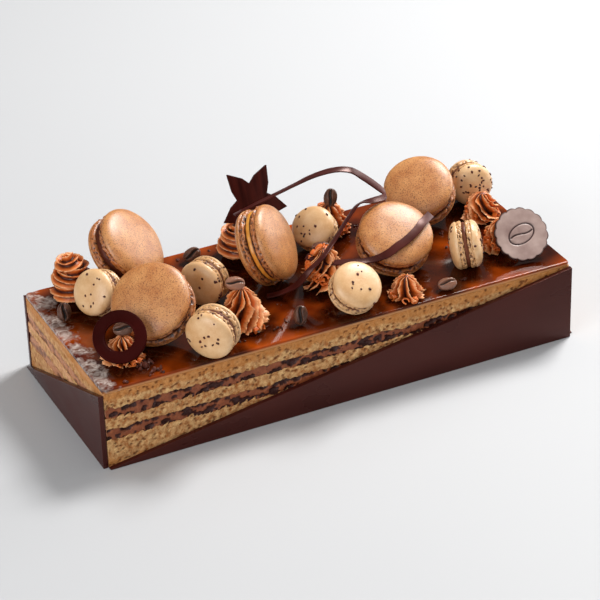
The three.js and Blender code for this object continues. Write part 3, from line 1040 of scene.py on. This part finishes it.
# for each small macaron: specks per square centimetre, where they are thickest, how wide
speckLook = {
    1: (3.0, (-0.7, -0.6, 0.4), 1.0),
    2: (2.6, (-0.1, -0.9, 0.4), 1.3),
    3: (3.4, (-0.8, -0.55, 0.15), 1.0),
    4: (9.0, (-0.75, -0.45, 0.5), 0.75),
    5: (9.0, (0.1, -0.85, 0.5), 1.2),
    6: (5.5, (0.75, -0.55, 0.35), 0.9),
    7: (4.0, (-0.1, -0.5, 0.85), 0.9),
}


def makeMinis(look, shells):
    ivory = shellMaterial("ivoryShell", ivoryTones, 0.04, 0.38)
    filling = chocolateMaterial("coffeeFilling")
    finished = {}
    miniShells = dict(shells, sides=120, footRagged=0.6, footShare=0.34)
    for number, facing in look["facing"].items():
        name = f"mini_macaron_{number}"
        middle, least = nodeAxes(name)[:2]
        axis = towards(least, facing)
        points = nodePoints(name) - middle
        up = points @ axis
        radius = np.linalg.norm(points - np.outer(up, axis), axis=1).max()
        thickness = up.max() - up.min()
        gapHalf = thickness * look["fillingShare"] / 2
        skins = []
        for direction in (axis, -axis):
            shell, hollow, foot, rings = shellPoints(
                radius, thickness / 2 - gapHalf, miniShells, number * 3 + direction[0])
            turn = frameFrom(direction, shellSide)
            skins.append((moved(shell, turn, middle + direction * gapHalf), hollow, foot))
        count = len(skins[0][0])
        faces = ringFaces(rings, miniShells["sides"])
        faces += [tuple(index + count for index in face) for face in faces]
        piece = newPiece(f"mini-macaron-{number}-shells",
                         np.concatenate([skins[0][0], skins[1][0]]), faces,
                         hollow=skins[0][1] + skins[1][1], foot=skins[0][2] + skins[1][2])
        finishPiece(piece, ivory, "ivory_shell", name)
        finished[number] = piece
        fill, fillRings = fillingPoints(radius - 0.9, 2 * gapHalf + 0.3, 72, number + 20)
        fillPiece = newPiece(f"mini-macaron-{number}-filling",
                             moved(fill, frameFrom(axis, shellSide), middle),
                             ringFaces(fillRings, 72))
        finishPiece(fillPiece, filling, "ganache_filling")
    return finished


def buildChipTree():
    # small irregular chips stuck all over a surface, thickest where "share" is high
    tree, given = newTree(
        "stuckChips", Density="Float", Size="Float", Seed="Int", Material="Material")
    spots = addNode(tree, "GeometryNodeDistributePointsOnFaces", {
        "Mesh": given["Geometry"], "Density": given["Density"] * storedValue(tree, "share"),
        "Seed": given["Seed"]})
    flatness = chanceVector(tree, (0.6, 0.55, 0.4), (1.2, 1.0, 0.7), Seed=given["Seed"])
    spread = spreadOn(tree, Wire(tree, spots.outputs["Points"]), lump(tree, given["Size"]),
                      Wire(tree, spots.outputs["Rotation"]), flatness)
    twist = chanceVector(tree, (-0.4, -0.4, 0.0), (0.4, 0.4, 6.28))
    return closeTree(tree, turnedBy(tree, spread, twist), given["Material"])


def speckCarrier(shells, look):
    # copies of the shells that carry how many specks each place gets
    points = []
    faces = []
    shares = []
    for number, piece in shells.items():
        density, thickest, width = look[number]
        mesh = piece.data
        place = np.empty(len(mesh.vertices) * 3)
        mesh.vertices.foreach_get("co", place)
        place = place.reshape(-1, 3) / mm
        outward = place - place.mean(axis=0)
        outward = outward / np.linalg.norm(outward, axis=1)[:, None]
        hint = np.array(thickest) / np.linalg.norm(thickest)
        nearness = (outward @ hint - math.cos(width)) / (1 - math.cos(width))
        foot = np.empty(len(mesh.vertices), dtype=np.float32)
        mesh.attributes["foot"].data.foreach_get("value", foot)
        start = sum(len(group) for group in points)
        faces += [[start + index for index in face.vertices] for face in mesh.polygons]
        points.append(place)
        spread = 0.18 + 0.82 * np.clip(nearness * 2, 0, 1)
        shares.append(density * spread * (1 - 0.6 * foot))
    return newPiece("coffee-specks", np.concatenate(points), faces, share=np.concatenate(shares))


def speckMaterial():
    material, tree = newMaterial("coffeeSpeck", 0.5, Specular_IOR_Level=0.4)
    color = mixColor(tree, grain(tree, 2.0, 0.5, 0.1)["Patch"], paint(46, 13, 7), paint(98, 40, 21))
    color.into(tree.nodes["Principled BSDF"].inputs["Base Color"])
    return material


miniPieces = makeMinis(miniLook, shellLook)
say("small macarons")
speckFinish = speckMaterial()
specks = runTree(speckCarrier(miniPieces, speckLook), buildChipTree(),
                 Density=10000.0, Size=1.0 * mm, Seed=11, Material=speckFinish)
finishPiece(specks, speckFinish, "coffee_bean")
say("coffee specks")


# each rosette's rule: fins rise to a point, swirls wind up like a rope
rosetteLook = {
    1: {"turns": 2.3, "rope": 6.6, "ridges": 8, "start": 150.0, "taper": 0.35, "spin": 9.0},
    2: {"ridges": 10, "twist": 0.9, "depth": 0.7, "tiers": 1.5, "splay": 0.9, "taper": 0.45,
        "curls": 12, "curlRise": 0.25},
    3: {"ridges": 10, "twist": -1.3, "depth": 0.76, "tiers": 0.0, "splay": 1.4, "taper": 0.44,
        "curls": 10, "curlRise": 0.12},
    4: {"turns": 2.2, "rope": 6.4, "ridges": 8, "start": 20.0, "taper": 0.5, "spin": 7.0},
    5: {"ridges": 9, "twist": 0.8, "depth": 0.72, "tiers": 1.5, "splay": 1.0, "taper": 0.3,
        "curls": 26, "curlRise": 0.7, "curlSize": 2.0},
    6: {"ridges": 12, "twist": -1.4, "depth": 0.7, "tiers": 2.6, "splay": 1.5, "taper": 0.38,
        "curls": 46, "curlRise": 0.85, "curlSize": 2.4},
    7: {"ridges": 9, "twist": 2.4, "depth": 0.72, "tiers": 1.4, "splay": 1.0, "taper": 0.32,
        "curls": 16, "curlRise": 0.4},
    8: {"ridges": 10, "twist": 1.0, "depth": 0.72, "tiers": 1.6, "splay": 1.1, "taper": 0.4,
        "curls": 20, "curlRise": 0.5},
    9: {"ridges": 9, "twist": 0.25, "depth": 0.8, "tiers": 0.0, "splay": 1.6, "taper": 0.34,
        "curls": 10, "curlRise": 0.08},
}
pipedTones = {
    "body": ((202, 94, 30), (226, 124, 52)),
    # painted shade in the grooves between the fins
    "groove": (66, 16, 4),
    # painted highlight along the crests
    "edge": (250, 184, 128),
}

def buildFinTree():
    # thin wavy fins round an upright axis; around and rise run from 0 to 1
    tree, given = newTree(
        "pipedFins", Radius="Float", Height="Float", Ridges="Int", Twist="Float", Depth="Float",
        Tiers="Float", Splay="Float", Taper="Float", Curls="Int", CurlRise="Float",
        CurlSize="Float", Seed="Float", Middle="Vector", Material="Material")
    ridges, tiers, seed = given["Ridges"], given["Tiers"], given["Seed"]
    grid = wireFrom(tree, "GeometryNodeMeshGrid", "Mesh", {
        "Size X": 1.0, "Size Y": 1.0, "Vertices X": ridges * 30 + 1, "Vertices Y": 64})
    x, y = splitUp(tree, position(tree))[:2]
    around = x + 0.5
    rise = y + 0.5
    left = 1.0 - rise
    angle = around * (2 * math.pi)
    crest = (calc(tree, "COSINE", angle * ridges) * 0.5 + 0.5) ** 4.2

    # every fin sways on its own, and its edge is ragged
    fin = calc(tree, "FLOORED_MODULO", calc(tree, "ROUND", around * ridges), ridges)
    sway = waver(tree, combine(tree, fin * 3.1, rise * 2.6, seed), 1.0, 1.0)
    raggedPlace = polar(tree, 3.0, angle, rise * 5.0 + seed)
    ragged = waver(tree, raggedPlace, 1.0, 3.0)
    tatter = waver(tree, raggedPlace, 5.0)

    belly = left ** given["Taper"] * calc(tree, "MINIMUM", rise * 1.3 + 0.86, 1.0)
    groove = (1.0 - crest) * given["Depth"] * (1.0 - rise * 0.3)
    tierSize = calc(tree, "MINIMUM", tiers, 1.0) * 0.1
    tierSwell = calc(tree, "COSINE", tiers * rise * 8.0 - angle) * tierSize + 1.0
    edge = ragged * 0.17 + tatter * 0.14
    reach = belly * (1.0 - groove) * tierSwell * (edge * crest + 1.0)

    # the foot of every fin flares out and curls up
    curl = calc(tree, "MAXIMUM", 1.0 - rise / 0.28, 0.0) * crest * given["Splay"]
    reach = reach * (curl * 0.07 + 1.0) * given["Radius"] * calc(tree, "GREATER_THAN", rise, 0.001)
    turn = angle + given["Twist"] * left ** 1.5 + (sway * 0.4 + 0.12) * crest
    up = rise * given["Height"] + (ragged * 0.9 + 0.6) * curl * (1.2 * mm)
    place = polar(tree, reach, turn, calc(tree, "MAXIMUM", up, 0.0))
    fins = setPlace(tree, keepValue(tree, grid, "crest", crest),
                    vectorSum(tree, place, given["Middle"]))
    both = addNode(tree, "GeometryNodeJoinGeometry")
    fins.into(both.inputs["Geometry"])
    curledLobes(tree, given).into(both.inputs["Geometry"])
    return closeTree(tree, Wire(tree, both.outputs["Geometry"]), given["Material"])


def curledLobes(tree, given):
    # short bent strips of cream that stick out low round the swirl, spread like seeds on a head
    goldenAngle, goldenShare = 2.399, 0.618
    index = wireFrom(tree, "GeometryNodeInputIndex", "Index")
    chance = wireFrom(tree, "FunctionNodeRandomValue", 1, {
        "Min": 0.0, "Max": 1.0, "ID": index, "Seed": given["Seed"] * 10.0}, data_type="FLOAT")
    angle = index * goldenAngle + chance
    rise = calc(tree, "FRACT", index * goldenShare) * given["CurlRise"]
    away = (1.0 - rise) ** given["Taper"] * given["Radius"] * 0.86
    spot = polar(tree, away, angle, rise * given["Height"] + 1.7 * mm)
    spots = wireFrom(tree, "GeometryNodePoints", 0, {"Count": given["Curls"]})
    placed = setPlace(tree, spots, vectorSum(tree, spot, given["Middle"]))
    bend = wireFrom(tree, "GeometryNodeCurveArc", "Curve", {
        "Resolution": 18, "Radius": given["CurlSize"], "Sweep Angle": math.radians(285)})
    lobe = sweep(tree, bend, softBar(tree, 0.75 * mm, 2.8 * mm, 0.3 * mm))
    aim = wireFrom(tree, "FunctionNodeAlignRotationToVector", "Rotation", {
        "Vector": polar(tree, 1.0, angle, chance - 0.4)}, axis="Z")
    spread = spreadOn(tree, placed, keepValue(tree, lobe, "crest", 0.55), aim,
                      combine(tree, chance * 0.5 + 0.75, chance * 0.3 + 0.7, 1.0))
    turned = turnedBy(tree, spread, combine(tree, 0.0, 0.0, chance * 6.28))
    real = wireFrom(tree, "GeometryNodeRealizeInstances", "Geometry", {"Geometry": turned})
    fray = wireFrom(tree, "ShaderNodeTexNoise", "Color", {
        "Vector": position(tree), "Scale": 330.0, "Detail": 2.0})
    jitter = wireFrom(tree, "ShaderNodeVectorMath", "Vector", {0: fray, 1: (0.5, 0.5, 0.5)},
                      operation="SUBTRACT")
    return setOffset(tree, real, vectorScaled(tree, jitter, 2.2 * mm))


def buildSwirlTree():
    # a ridged rope of cream wound up in a spiral
    tree, given = newTree(
        "pipedSwirl", Radius="Float", Height="Float", Turns="Float", Rope="Float", Ridges="Int",
        Start="Float", Taper="Float", Spin="Float", Middle="Vector", Material="Material")
    rope = given["Rope"]
    line = wireFrom(tree, "GeometryNodeCurvePrimitiveLine", "Curve", {"End": (0.0, 0.0, 1.0)})
    steps = resampled(tree, line, 190)
    share = wireFrom(tree, "GeometryNodeSplineParameter", "Factor")
    left = 1.0 - share
    angle = given["Turns"] * share * (2 * math.pi) + given["Start"]
    away = (given["Radius"] - rope) * left ** given["Taper"]
    climb = given["Height"] - rope * 1.4
    middle = polar(tree, away, angle, climb * share + rope * 0.85)
    thin = 1.0 - share ** 2.2 * 0.6
    starting = calc(tree, "MINIMUM", share * 12.0 + 0.25, 1.0)
    ending = calc(tree, "MINIMUM", left * 12.0 + 0.05, 1.0)
    sized = wireFrom(tree, "GeometryNodeSetCurveRadius", "Curve", {
        "Curve": setPlace(tree, steps, middle), "Radius": thin * starting * ending})
    tilted = wireFrom(tree, "GeometryNodeSetCurveTilt", "Curve", {
        "Curve": sized, "Tilt": share ** 1.8 * given["Spin"]})
    star = wireFrom(tree, "GeometryNodeCurveStar", "Curve", {
        "Points": given["Ridges"], "Outer Radius": rope, "Inner Radius": rope * 0.4})
    rounded = resampled(tree, star, given["Ridges"] * 12)
    out = wireFrom(tree, "ShaderNodeVectorMath", "Value", {0: position(tree)}, operation="LENGTH")
    section = keepValue(tree, rounded, "crest", remap(tree, out / rope, 0.5, 1.0))
    tatter = waver(tree, position(tree), 380.0)
    outward = wireFrom(tree, "GeometryNodeInputNormal", "Normal")
    ragged = setOffset(tree, sweep(tree, tilted, section),
                       vectorScaled(tree, outward, tatter * (0.45 * mm)))
    x, y, z = splitUp(tree, position(tree))
    seated = combine(tree, x, y, calc(tree, "MAXIMUM", z, 0.0))
    placed = setPlace(tree, ragged, vectorSum(tree, seated, given["Middle"]))
    return closeTree(tree, placed, given["Material"])


def pipedMaterial(tones):
    material, tree = newMaterial("pipedCoffeeCream", 0.42, Specular_IOR_Level=0.5)
    grains = grain(tree, 5.0, 0.8, 0.1)
    crest = namedValue(tree, "crest")
    color = mixColor(tree, grains["Patch"], *tones["body"])
    # painted shade in the grooves
    color = mixColor(tree, remap(tree, crest, 0.0, 0.55), tones["groove"], color)
    # painted highlight along the crests
    color = mixColor(tree, remap(tree, crest, 0.6, 0.95, 0.0, 0.85), color, tones["edge"])
    return dress(material, color, grains["Height"], 0.35, 0.3)


def makeRosettes(looks, tones):
    material = pipedMaterial(tones)
    fins = buildFinTree()
    swirl = buildSwirlTree()
    glazeTop = nodeBox("glaze")[1][2] - 0.1
    for number, look in looks.items():
        low, high = nodeBox(f"rosette_{number}")
        middle = (low + high) / 2
        middle[2] = glazeTop
        radius = (high[0] - low[0] + high[1] - low[1]) / 4
        shared = {"Middle": (middle * mm).tolist(), "Material": material, "Taper": look["taper"],
                  "Height": (high[2] - glazeTop) * mm, "Ridges": look["ridges"]}
        piece = newPiece(f"rosette-{number}-piped", [(0, 0, 0)], [])
        if "rope" in look:
            runTree(piece, swirl, Radius=radius * mm, Turns=look["turns"], Rope=look["rope"] * mm,
                    Start=math.radians(look["start"]), Spin=look["spin"], **shared)
        else:
            runTree(piece, fins, Radius=radius * 0.96 * mm, Twist=look["twist"],
                    Depth=look["depth"], Tiers=look["tiers"], Splay=look["splay"],
                    Curls=look["curls"], CurlRise=look["curlRise"],
                    CurlSize=look.get("curlSize", 1.7) * mm, Seed=number * 1.7, **shared)
        finishPiece(piece, material, "piped_cream", f"rosette_{number}")


makeRosettes(rosetteLook, painted(pipedTones))
say("piped cream")


beanLook = {
    "grooveSide": {
        1: (-0.4, -0.9, 0.3), 2: (-0.3, -0.6, 0.8), 3: (-0.2, -0.6, 0.8), 4: (-0.2, -0.7, 0.7),
        5: (-0.4, -0.8, 0.4), 6: (-0.2, -0.5, 0.8), 7: (-0.4, -0.8, 0.4), 8: (-0.2, -0.3, 0.9),
    },
    "paleness": {1: 0.0, 2: 0.2, 3: 0.85, 4: 0.1, 5: 0.1, 6: 0.1, 7: 0.0, 8: 0.6},
    "grooveWidth": 0.2,
    "grooveDepth": 0.55,
}
beanTones = {
    "skin": ((40, 19, 12), (100, 60, 42)),
    "pale": (150, 104, 82),
    "fleck": (170, 140, 122),
    # painted shade in the crease down the flat side
    "groove": (16, 8, 6),
}


def beanPoints(length, width, height, look, seed):
    rows = 44
    sides = 56
    points = []
    dark = []
    for row in range(rows):
        angle = math.pi * (row + 0.5) / rows
        along = -math.cos(angle)
        girth = math.sin(angle) ** 0.85
        sway = 0.18 * math.sin(along * 2.6)
        for across, up in circle(sides):
            flat = up * 0.62 if up > 0 else up
            inGroove = 0.0
            if up > 0:
                offset = (across - sway) / look["grooveWidth"]
                inGroove = math.exp(-offset * offset) * (1 - along ** 6)
                lip = math.exp(-(abs(offset) - 1.7) ** 2) * 0.1
                flat += lip - look["grooveDepth"] * inGroove
            wrinkle = 0.05 * noiseAt(along * 6, across * 2, up * 2, 1.0, seed)
            points.append((along * length / 2, across * girth * (1 + wrinkle) * width / 2,
                           flat * girth * height / 1.62))
            dark.append(inGroove)
    points += [(-length / 2, 0, 0), (length / 2, 0, 0)]
    return np.array(points), dark + [0, 0], rows, sides


def beanMaterial(tones):
    material, tree = newMaterial("roastedBean", 0.28, Specular_IOR_Level=0.55)
    grains = grain(tree, 2.5, 0.6, 0.12)
    color = layered(tree, mixColor(tree, grains["Patch"], *tones["skin"]),
                    (namedValue(tree, "pale"), tones["pale"]),
                    (grains["Fleck"] * 0.2, tones["fleck"]),
                    # painted shade in the crease
                    (remap(tree, namedValue(tree, "groove"), 0.3, 0.8), tones["groove"]))
    return dress(material, color, grains["Height"], 0.5, 0.3)


def makeBeans(look, tones):
    material = beanMaterial(tones)
    for number, hint in look["grooveSide"].items():
        name = f"bean_{number}"
        middle, least, between, long = nodeAxes(name)
        up = towards(least, hint)
        points = nodePoints(name) - middle
        size = [np.ptp(points @ direction) for direction in (long, between, up)]
        bean, dark, rows, sides = beanPoints(*size, look, number)
        turn = np.stack([long, np.cross(up, long), up], axis=1)
        piece = newPiece(f"bean-{number}-roasted", moved(bean, turn, middle),
                         ringFaces(rows, sides), groove=dark,
                         pale=np.full(len(dark), look["paleness"][number]))
        finishPiece(piece, material, "coffee_bean", name)


makeBeans(beanLook, painted(beanTones))
say("coffee beans")


trimLook = {
    "starBevel": 0.3,
    "ringLip": 0.2,
    "discScallops": 16,
    "discScallopDepth": 1.0,
    "beanMark": (5.6, 8.6),  # half width and half length of the incised coffee bean
    "beanMarkTurn": 24,
    "markWidth": 0.55,
    "markDepth": 0.6,
}
# centre line of each curl, then the direction across its flat width
ribbonLook = {
    "width": 5.0,
    "thickness": 0.9,
    "ribbon_long": [
        (-29, 24, 89, 0.1, 1, -0.3), (-17.5, 23, 92.7, 0.1, 1, -0.3), (-5.5, 22, 96.4, 0.1, 1, -0.3),
        (8.8, 20, 101.2, 0.1, 1, -0.25), (19.7, 18, 105, 0, 1, -0.1), (32, 16, 106.8, 0, 1, 0.1),
        (42.2, 14, 105.2, 0.3, 0.9, 0.3), (49.7, 12, 99.8, 0.5, 0.7, 0.4),
        (58.7, 9.5, 91.5, 0.5, 0.7, 0.4), (62, 6.5, 87.6, 0.3, 0.9, 0.3), (58, 2.5, 88, 0, 1, 0.3),
        (50, 0, 89.3, 0, 1, 0.2), (39.2, -3, 91.2, -0.4, 0.6, -0.5),
        (32.3, -6, 87.7, -0.6, 0.4, -0.6), (24.2, -10, 82.5, -0.6, 0.4, -0.6),
        (14.5, -16, 77.3, -0.6, 0.4, -0.5), (3.3, -24, 74.3, -0.6, 0.6, -0.4),
        (-4.5, -25, 69.6, -0.6, 0.6, -0.2), (-11, -22, 60.5, -0.2, 0.9, 0),
        (-16.4, -18, 55.6, 0.3, 0.9, 0), (-21.5, -15.3, 53.3, 0.42, 0.9, 0),
        (-27, -13, 52.2, 0.42, 0.9, 0)],
    "ribbon_short": [
        (80.3, -15.7, 79.5, -0.4, 0.7, 0.5), (71.3, -22.6, 79.9, -0.5, 0.7, 0.45),
        (64.6, -26.9, 78.1, -0.45, 0.75, 0.5), (56.2, -30.5, 75.8, -0.4, 0.75, 0.5),
        (49.3, -32, 74.1, -0.3, 0.8, 0.5), (43.4, -32.9, 71.9, -0.2, 0.9, 0.5),
        (38.2, -31.9, 70, -0.1, 1, 0.3), (31.5, -30.5, 69, 0, 1, 0.2),
        (21.7, -28, 69.4, 0, 1, 0.2), (8.9, -21.2, 69.1, 0.1, 1, 0.2),
        (3.8, -17.2, 70.4, 0.3, 1, 0.2), (1, -10, 69.9, 0.7, 0.5, 0.2)],
}


def makeStar(look):
    piece = cadCopy("chocolate_star", "star-sheet")
    dissolveFlat(piece)
    softenEdges(piece, look["starBevel"])
    finishPiece(piece, chocolateMaterial("starChocolate"), "chocolate_trim", "chocolate_star")


def loopFaces(rings, sides):
    # skin over rings whose last one meets the first, as round a doughnut
    faces = []
    for ring in range(rings):
        for side in range(sides):
            after = (side + 1) % sides
            low, high = ring * sides, ((ring + 1) % rings) * sides
            faces.append((low + side, low + after, high + after, high + side))
    return faces


def makeRing(look):
    middle, least = nodeAxes("chocolate_ring")[:2]
    axis = towards(least, (-0.36, -0.66, 0.66))
    points = nodePoints("chocolate_ring") - middle
    up = points @ axis
    away = np.linalg.norm(points - np.outer(up, axis), axis=1)
    inner, outer, half = away.min(), away.max(), np.ptp(up) / 2
    sunk = half - look["ringLip"]
    profile = [(inner, -half * 0.6), (inner + 0.3, -half), (outer - 0.3, -half),
               (outer, -half + 0.3), (outer, half - 0.3), (outer - 0.12, half - 0.08),
               (outer - 0.35, half), (outer - 0.6, half), (outer - 0.75, sunk + 0.03),
               (outer - 1.0, sunk), (inner + 1.3, sunk), (inner + 1.05, sunk + 0.03),
               (inner + 0.85, half), (inner + 0.3, half), (inner + 0.1, half - 0.12),
               (inner, half - 0.4)]
    sides = 128
    skin = [(across * x, across * y, height)
            for across, height in profile for x, y in circle(sides)]
    piece = newPiece("ring-sheet", moved(skin, frameFrom(axis, (0.2, 0.3, 1)), middle),
                     loopFaces(len(profile), sides))
    tidySkin(piece)
    finishPiece(piece, chocolateMaterial("ringChocolate"), "chocolate_trim", "chocolate_ring")


def beanMarkDistance(x, y, look):
    # distance to the outline of a coffee bean with its wavy middle line
    turn = math.radians(look["beanMarkTurn"])
    across = x * math.cos(turn) + y * math.sin(turn)
    along = -x * math.sin(turn) + y * math.cos(turn)
    halfWidth, halfLength = look["beanMark"]
    rim = abs(math.hypot(across / halfWidth, along / halfLength) - 1) * (halfWidth + halfLength) / 2
    middleLine = abs(across - 1.5 * math.sin(along / halfLength * 2.6))
    if abs(along) > halfLength * 0.86:
        middleLine = 99
    return min(rim, middleLine)


def discMaterial():
    # pale face, with painted shade in the incised lines and darker towards the rim
    material, tree = newMaterial("discChocolate", 0.4, Specular_IOR_Level=0.5)
    grains = grain(tree, 12.0, 1.0, 0.05)
    paleFace = mixColor(tree, grains["Patch"], paint(142, 116, 110), paint(186, 162, 154))
    # painted shade in the incised lines, and darker towards the rim
    mark = remap(tree, namedValue(tree, "mark"), 0.25, 0.8)
    color = mixColor(tree, mark, paleFace, paint(52, 24, 22))
    return dress(material, color, grains["Height"], 0.15, 0.3)


def makeDisc(look):
    points = nodePoints("scalloped_disc")
    middle, least = nodeAxes("scalloped_disc")[:2]
    axis = towards(least, (-0.122, -0.708, 0.695))
    flat = points - middle
    up = flat @ axis
    radius = np.linalg.norm(flat - np.outer(up, axis), axis=1).max()
    half = np.ptp(up) / 2
    sides = 224
    spokes = 46
    shares = [1 - step / spokes for step in range(spokes)]
    rings = [(share, -half) for share in (0.5, 0.97)] + [(1.0, -half * 0.6), (1.0, half * 0.4)]
    rings += [(0.985, half * 0.8)] + [(0.975 * share, half) for share in shares]
    skin = []
    marks = []
    for share, height in rings:
        for side in range(sides):
            angle = side * 2 * math.pi / sides
            wave = abs(math.sin(look["discScallops"] * angle / 2))
            edge = radius - look["discScallopDepth"] * (1 - wave ** 0.8) * share ** 6
            x, y = edge * share * math.cos(angle), edge * share * math.sin(angle)
            mark = 0.0
            if height == half:
                distance = beanMarkDistance(x, y, look)
                mark = math.exp(-(distance / look["markWidth"]) ** 2)
            skin.append((x, y, height - look["markDepth"] * mark))
            marks.append(mark)
    skin += [(0, 0, -half), (0, 0, half - look["markDepth"] * 0.5)]
    # darker towards the rim, kept in the same value as the painted shade of the incised lines
    edges = [max(0.0, (share - 0.9) / 0.1) for share, height in rings for side in range(sides)]
    piece = newPiece("disc-sheet", moved(skin, frameFrom(axis, (0, 0, 1)), middle),
                     ringFaces(len(rings), sides),
                     mark=np.maximum(marks + [0, 0.5], edges + [0, 0]))
    finishPiece(piece, discMaterial(), "chocolate_trim", "scalloped_disc")


def buildCurlTree():
    # sweeps a flat bar along the centre line, its width kept along the stored direction
    tree, given = newTree("sweptCurl", Width="Float", Thickness="Float", Material="Material")
    line = wireFrom(tree, "GeometryNodeMeshToCurve", "Curve", {"Mesh": given["Geometry"]})
    soft = wireFrom(tree, "GeometryNodeCurveSplineType", "Curve", {"Curve": line},
                    spline_type="CATMULL_ROM")
    turned = wireFrom(tree, "GeometryNodeSetCurveNormal", "Curve", {
        "Curve": resampled(tree, soft, 240),
        "Normal": storedValue(tree, "across", "FLOAT_VECTOR")}, mode="FREE")
    swept = sweep(tree, turned, softBar(tree, given["Width"], given["Thickness"], 0.28 * mm))
    return closeTree(tree, swept, given["Material"])


def makeCurls(look):
    material = chocolateMaterial("curlChocolate")
    tree = buildCurlTree()
    for name in ("ribbon_long", "ribbon_short"):
        route = np.array(look[name], dtype=float)
        edges = [(index, index + 1) for index in range(len(route) - 1)]
        mesh = bpy.data.meshes.new(name)
        mesh.from_pydata((route[:, :3] * mm).tolist(), edges, [])
        piece = bpy.data.objects.new(name.replace("_", "-") + "-curl", mesh)
        bpy.context.scene.collection.objects.link(piece)
        layer = mesh.attributes.new("across", "FLOAT_VECTOR", "POINT")
        layer.data.foreach_set("vector", route[:, 3:].astype(np.float32).ravel())
        runTree(piece, tree, Width=look["width"] * mm, Thickness=look["thickness"] * mm,
                Material=material)
        finishPiece(piece, material, "chocolate_trim", name)


makeStar(trimLook)
makeRing(trimLook)
makeDisc(trimLook)
makeCurls(ribbonLook)
say("chocolate decorations")


# loose bits on the glaze: x, y, how far they spread, how many, how large
crumbLook = {
    "clusters": [
        (-119, -46, 4.6, 26, 1.6), (-116, -56, 3.6, 13, 1.35), (-135.5, -58, 1.6, 5, 1.1),
        (-120.3, -58.6, 1.0, 2, 0.8), (-24.7, -22.9, 1.4, 3, 0.8), (-36, -47, 3.2, 7, 0.8),
        (-28.7, -41.9, 2.5, 5, 0.7), (-146, 33.9, 0.8, 2, 0.7), (-55.4, 53.4, 1.6, 3, 0.8),
        (-61.4, 47.1, 1.0, 2, 0.8), (-33.4, 53.8, 1.2, 2, 0.8), (99.2, 4.8, 2.2, 4, 0.9),
        (94.1, -10.7, 1.5, 3, 0.8), (84.8, -50.7, 2.6, 5, 0.9), (58, 39, 1.5, 3, 0.8),
        (10, -33, 3.0, 6, 0.7), (-60, -50, 2.4, 4, 0.7)],
    "seed": 7,
}


def buildCrumbTree():
    tree, given = newTree("looseCrumbs", Seed="Int", Material="Material")
    squash = chanceVector(tree, (0.5, 0.4, 0.4), (1.3, 0.9, 0.8), Seed=given["Seed"])
    turn = chanceVector(tree, (0.0, 0.0, 0.0), (6.28, 6.28, 6.28), Seed=given["Seed"])
    spread = spreadOn(tree, given["Geometry"], lump(tree, 1.25 * mm), turn,
                      vectorScaled(tree, squash, storedValue(tree, "size")))
    return closeTree(tree, spread, given["Material"])


def makeCrumbs(look):
    draw = random.Random(look["seed"])
    glazeTop = nodeBox("glaze")[1][2]
    points = []
    sizes = []
    for x, y, spread, count, size in look["clusters"]:
        for _ in range(count):
            big = size * draw.uniform(0.6, 1.25)
            points.append((x + draw.gauss(0, spread / 2), y + draw.gauss(0, spread / 2),
                           glazeTop + 0.3 * big))
            sizes.append(big)
    piece = newPiece("glaze-crumbs", points, [], size=sizes)
    runTree(piece, buildCrumbTree(), Seed=look["seed"], Material=speckFinish)
    shadeSmooth(piece.data, False)
    finishPiece(piece, speckFinish, "chocolate_trim")


makeCrumbs(crumbLook)
say("crumbs")
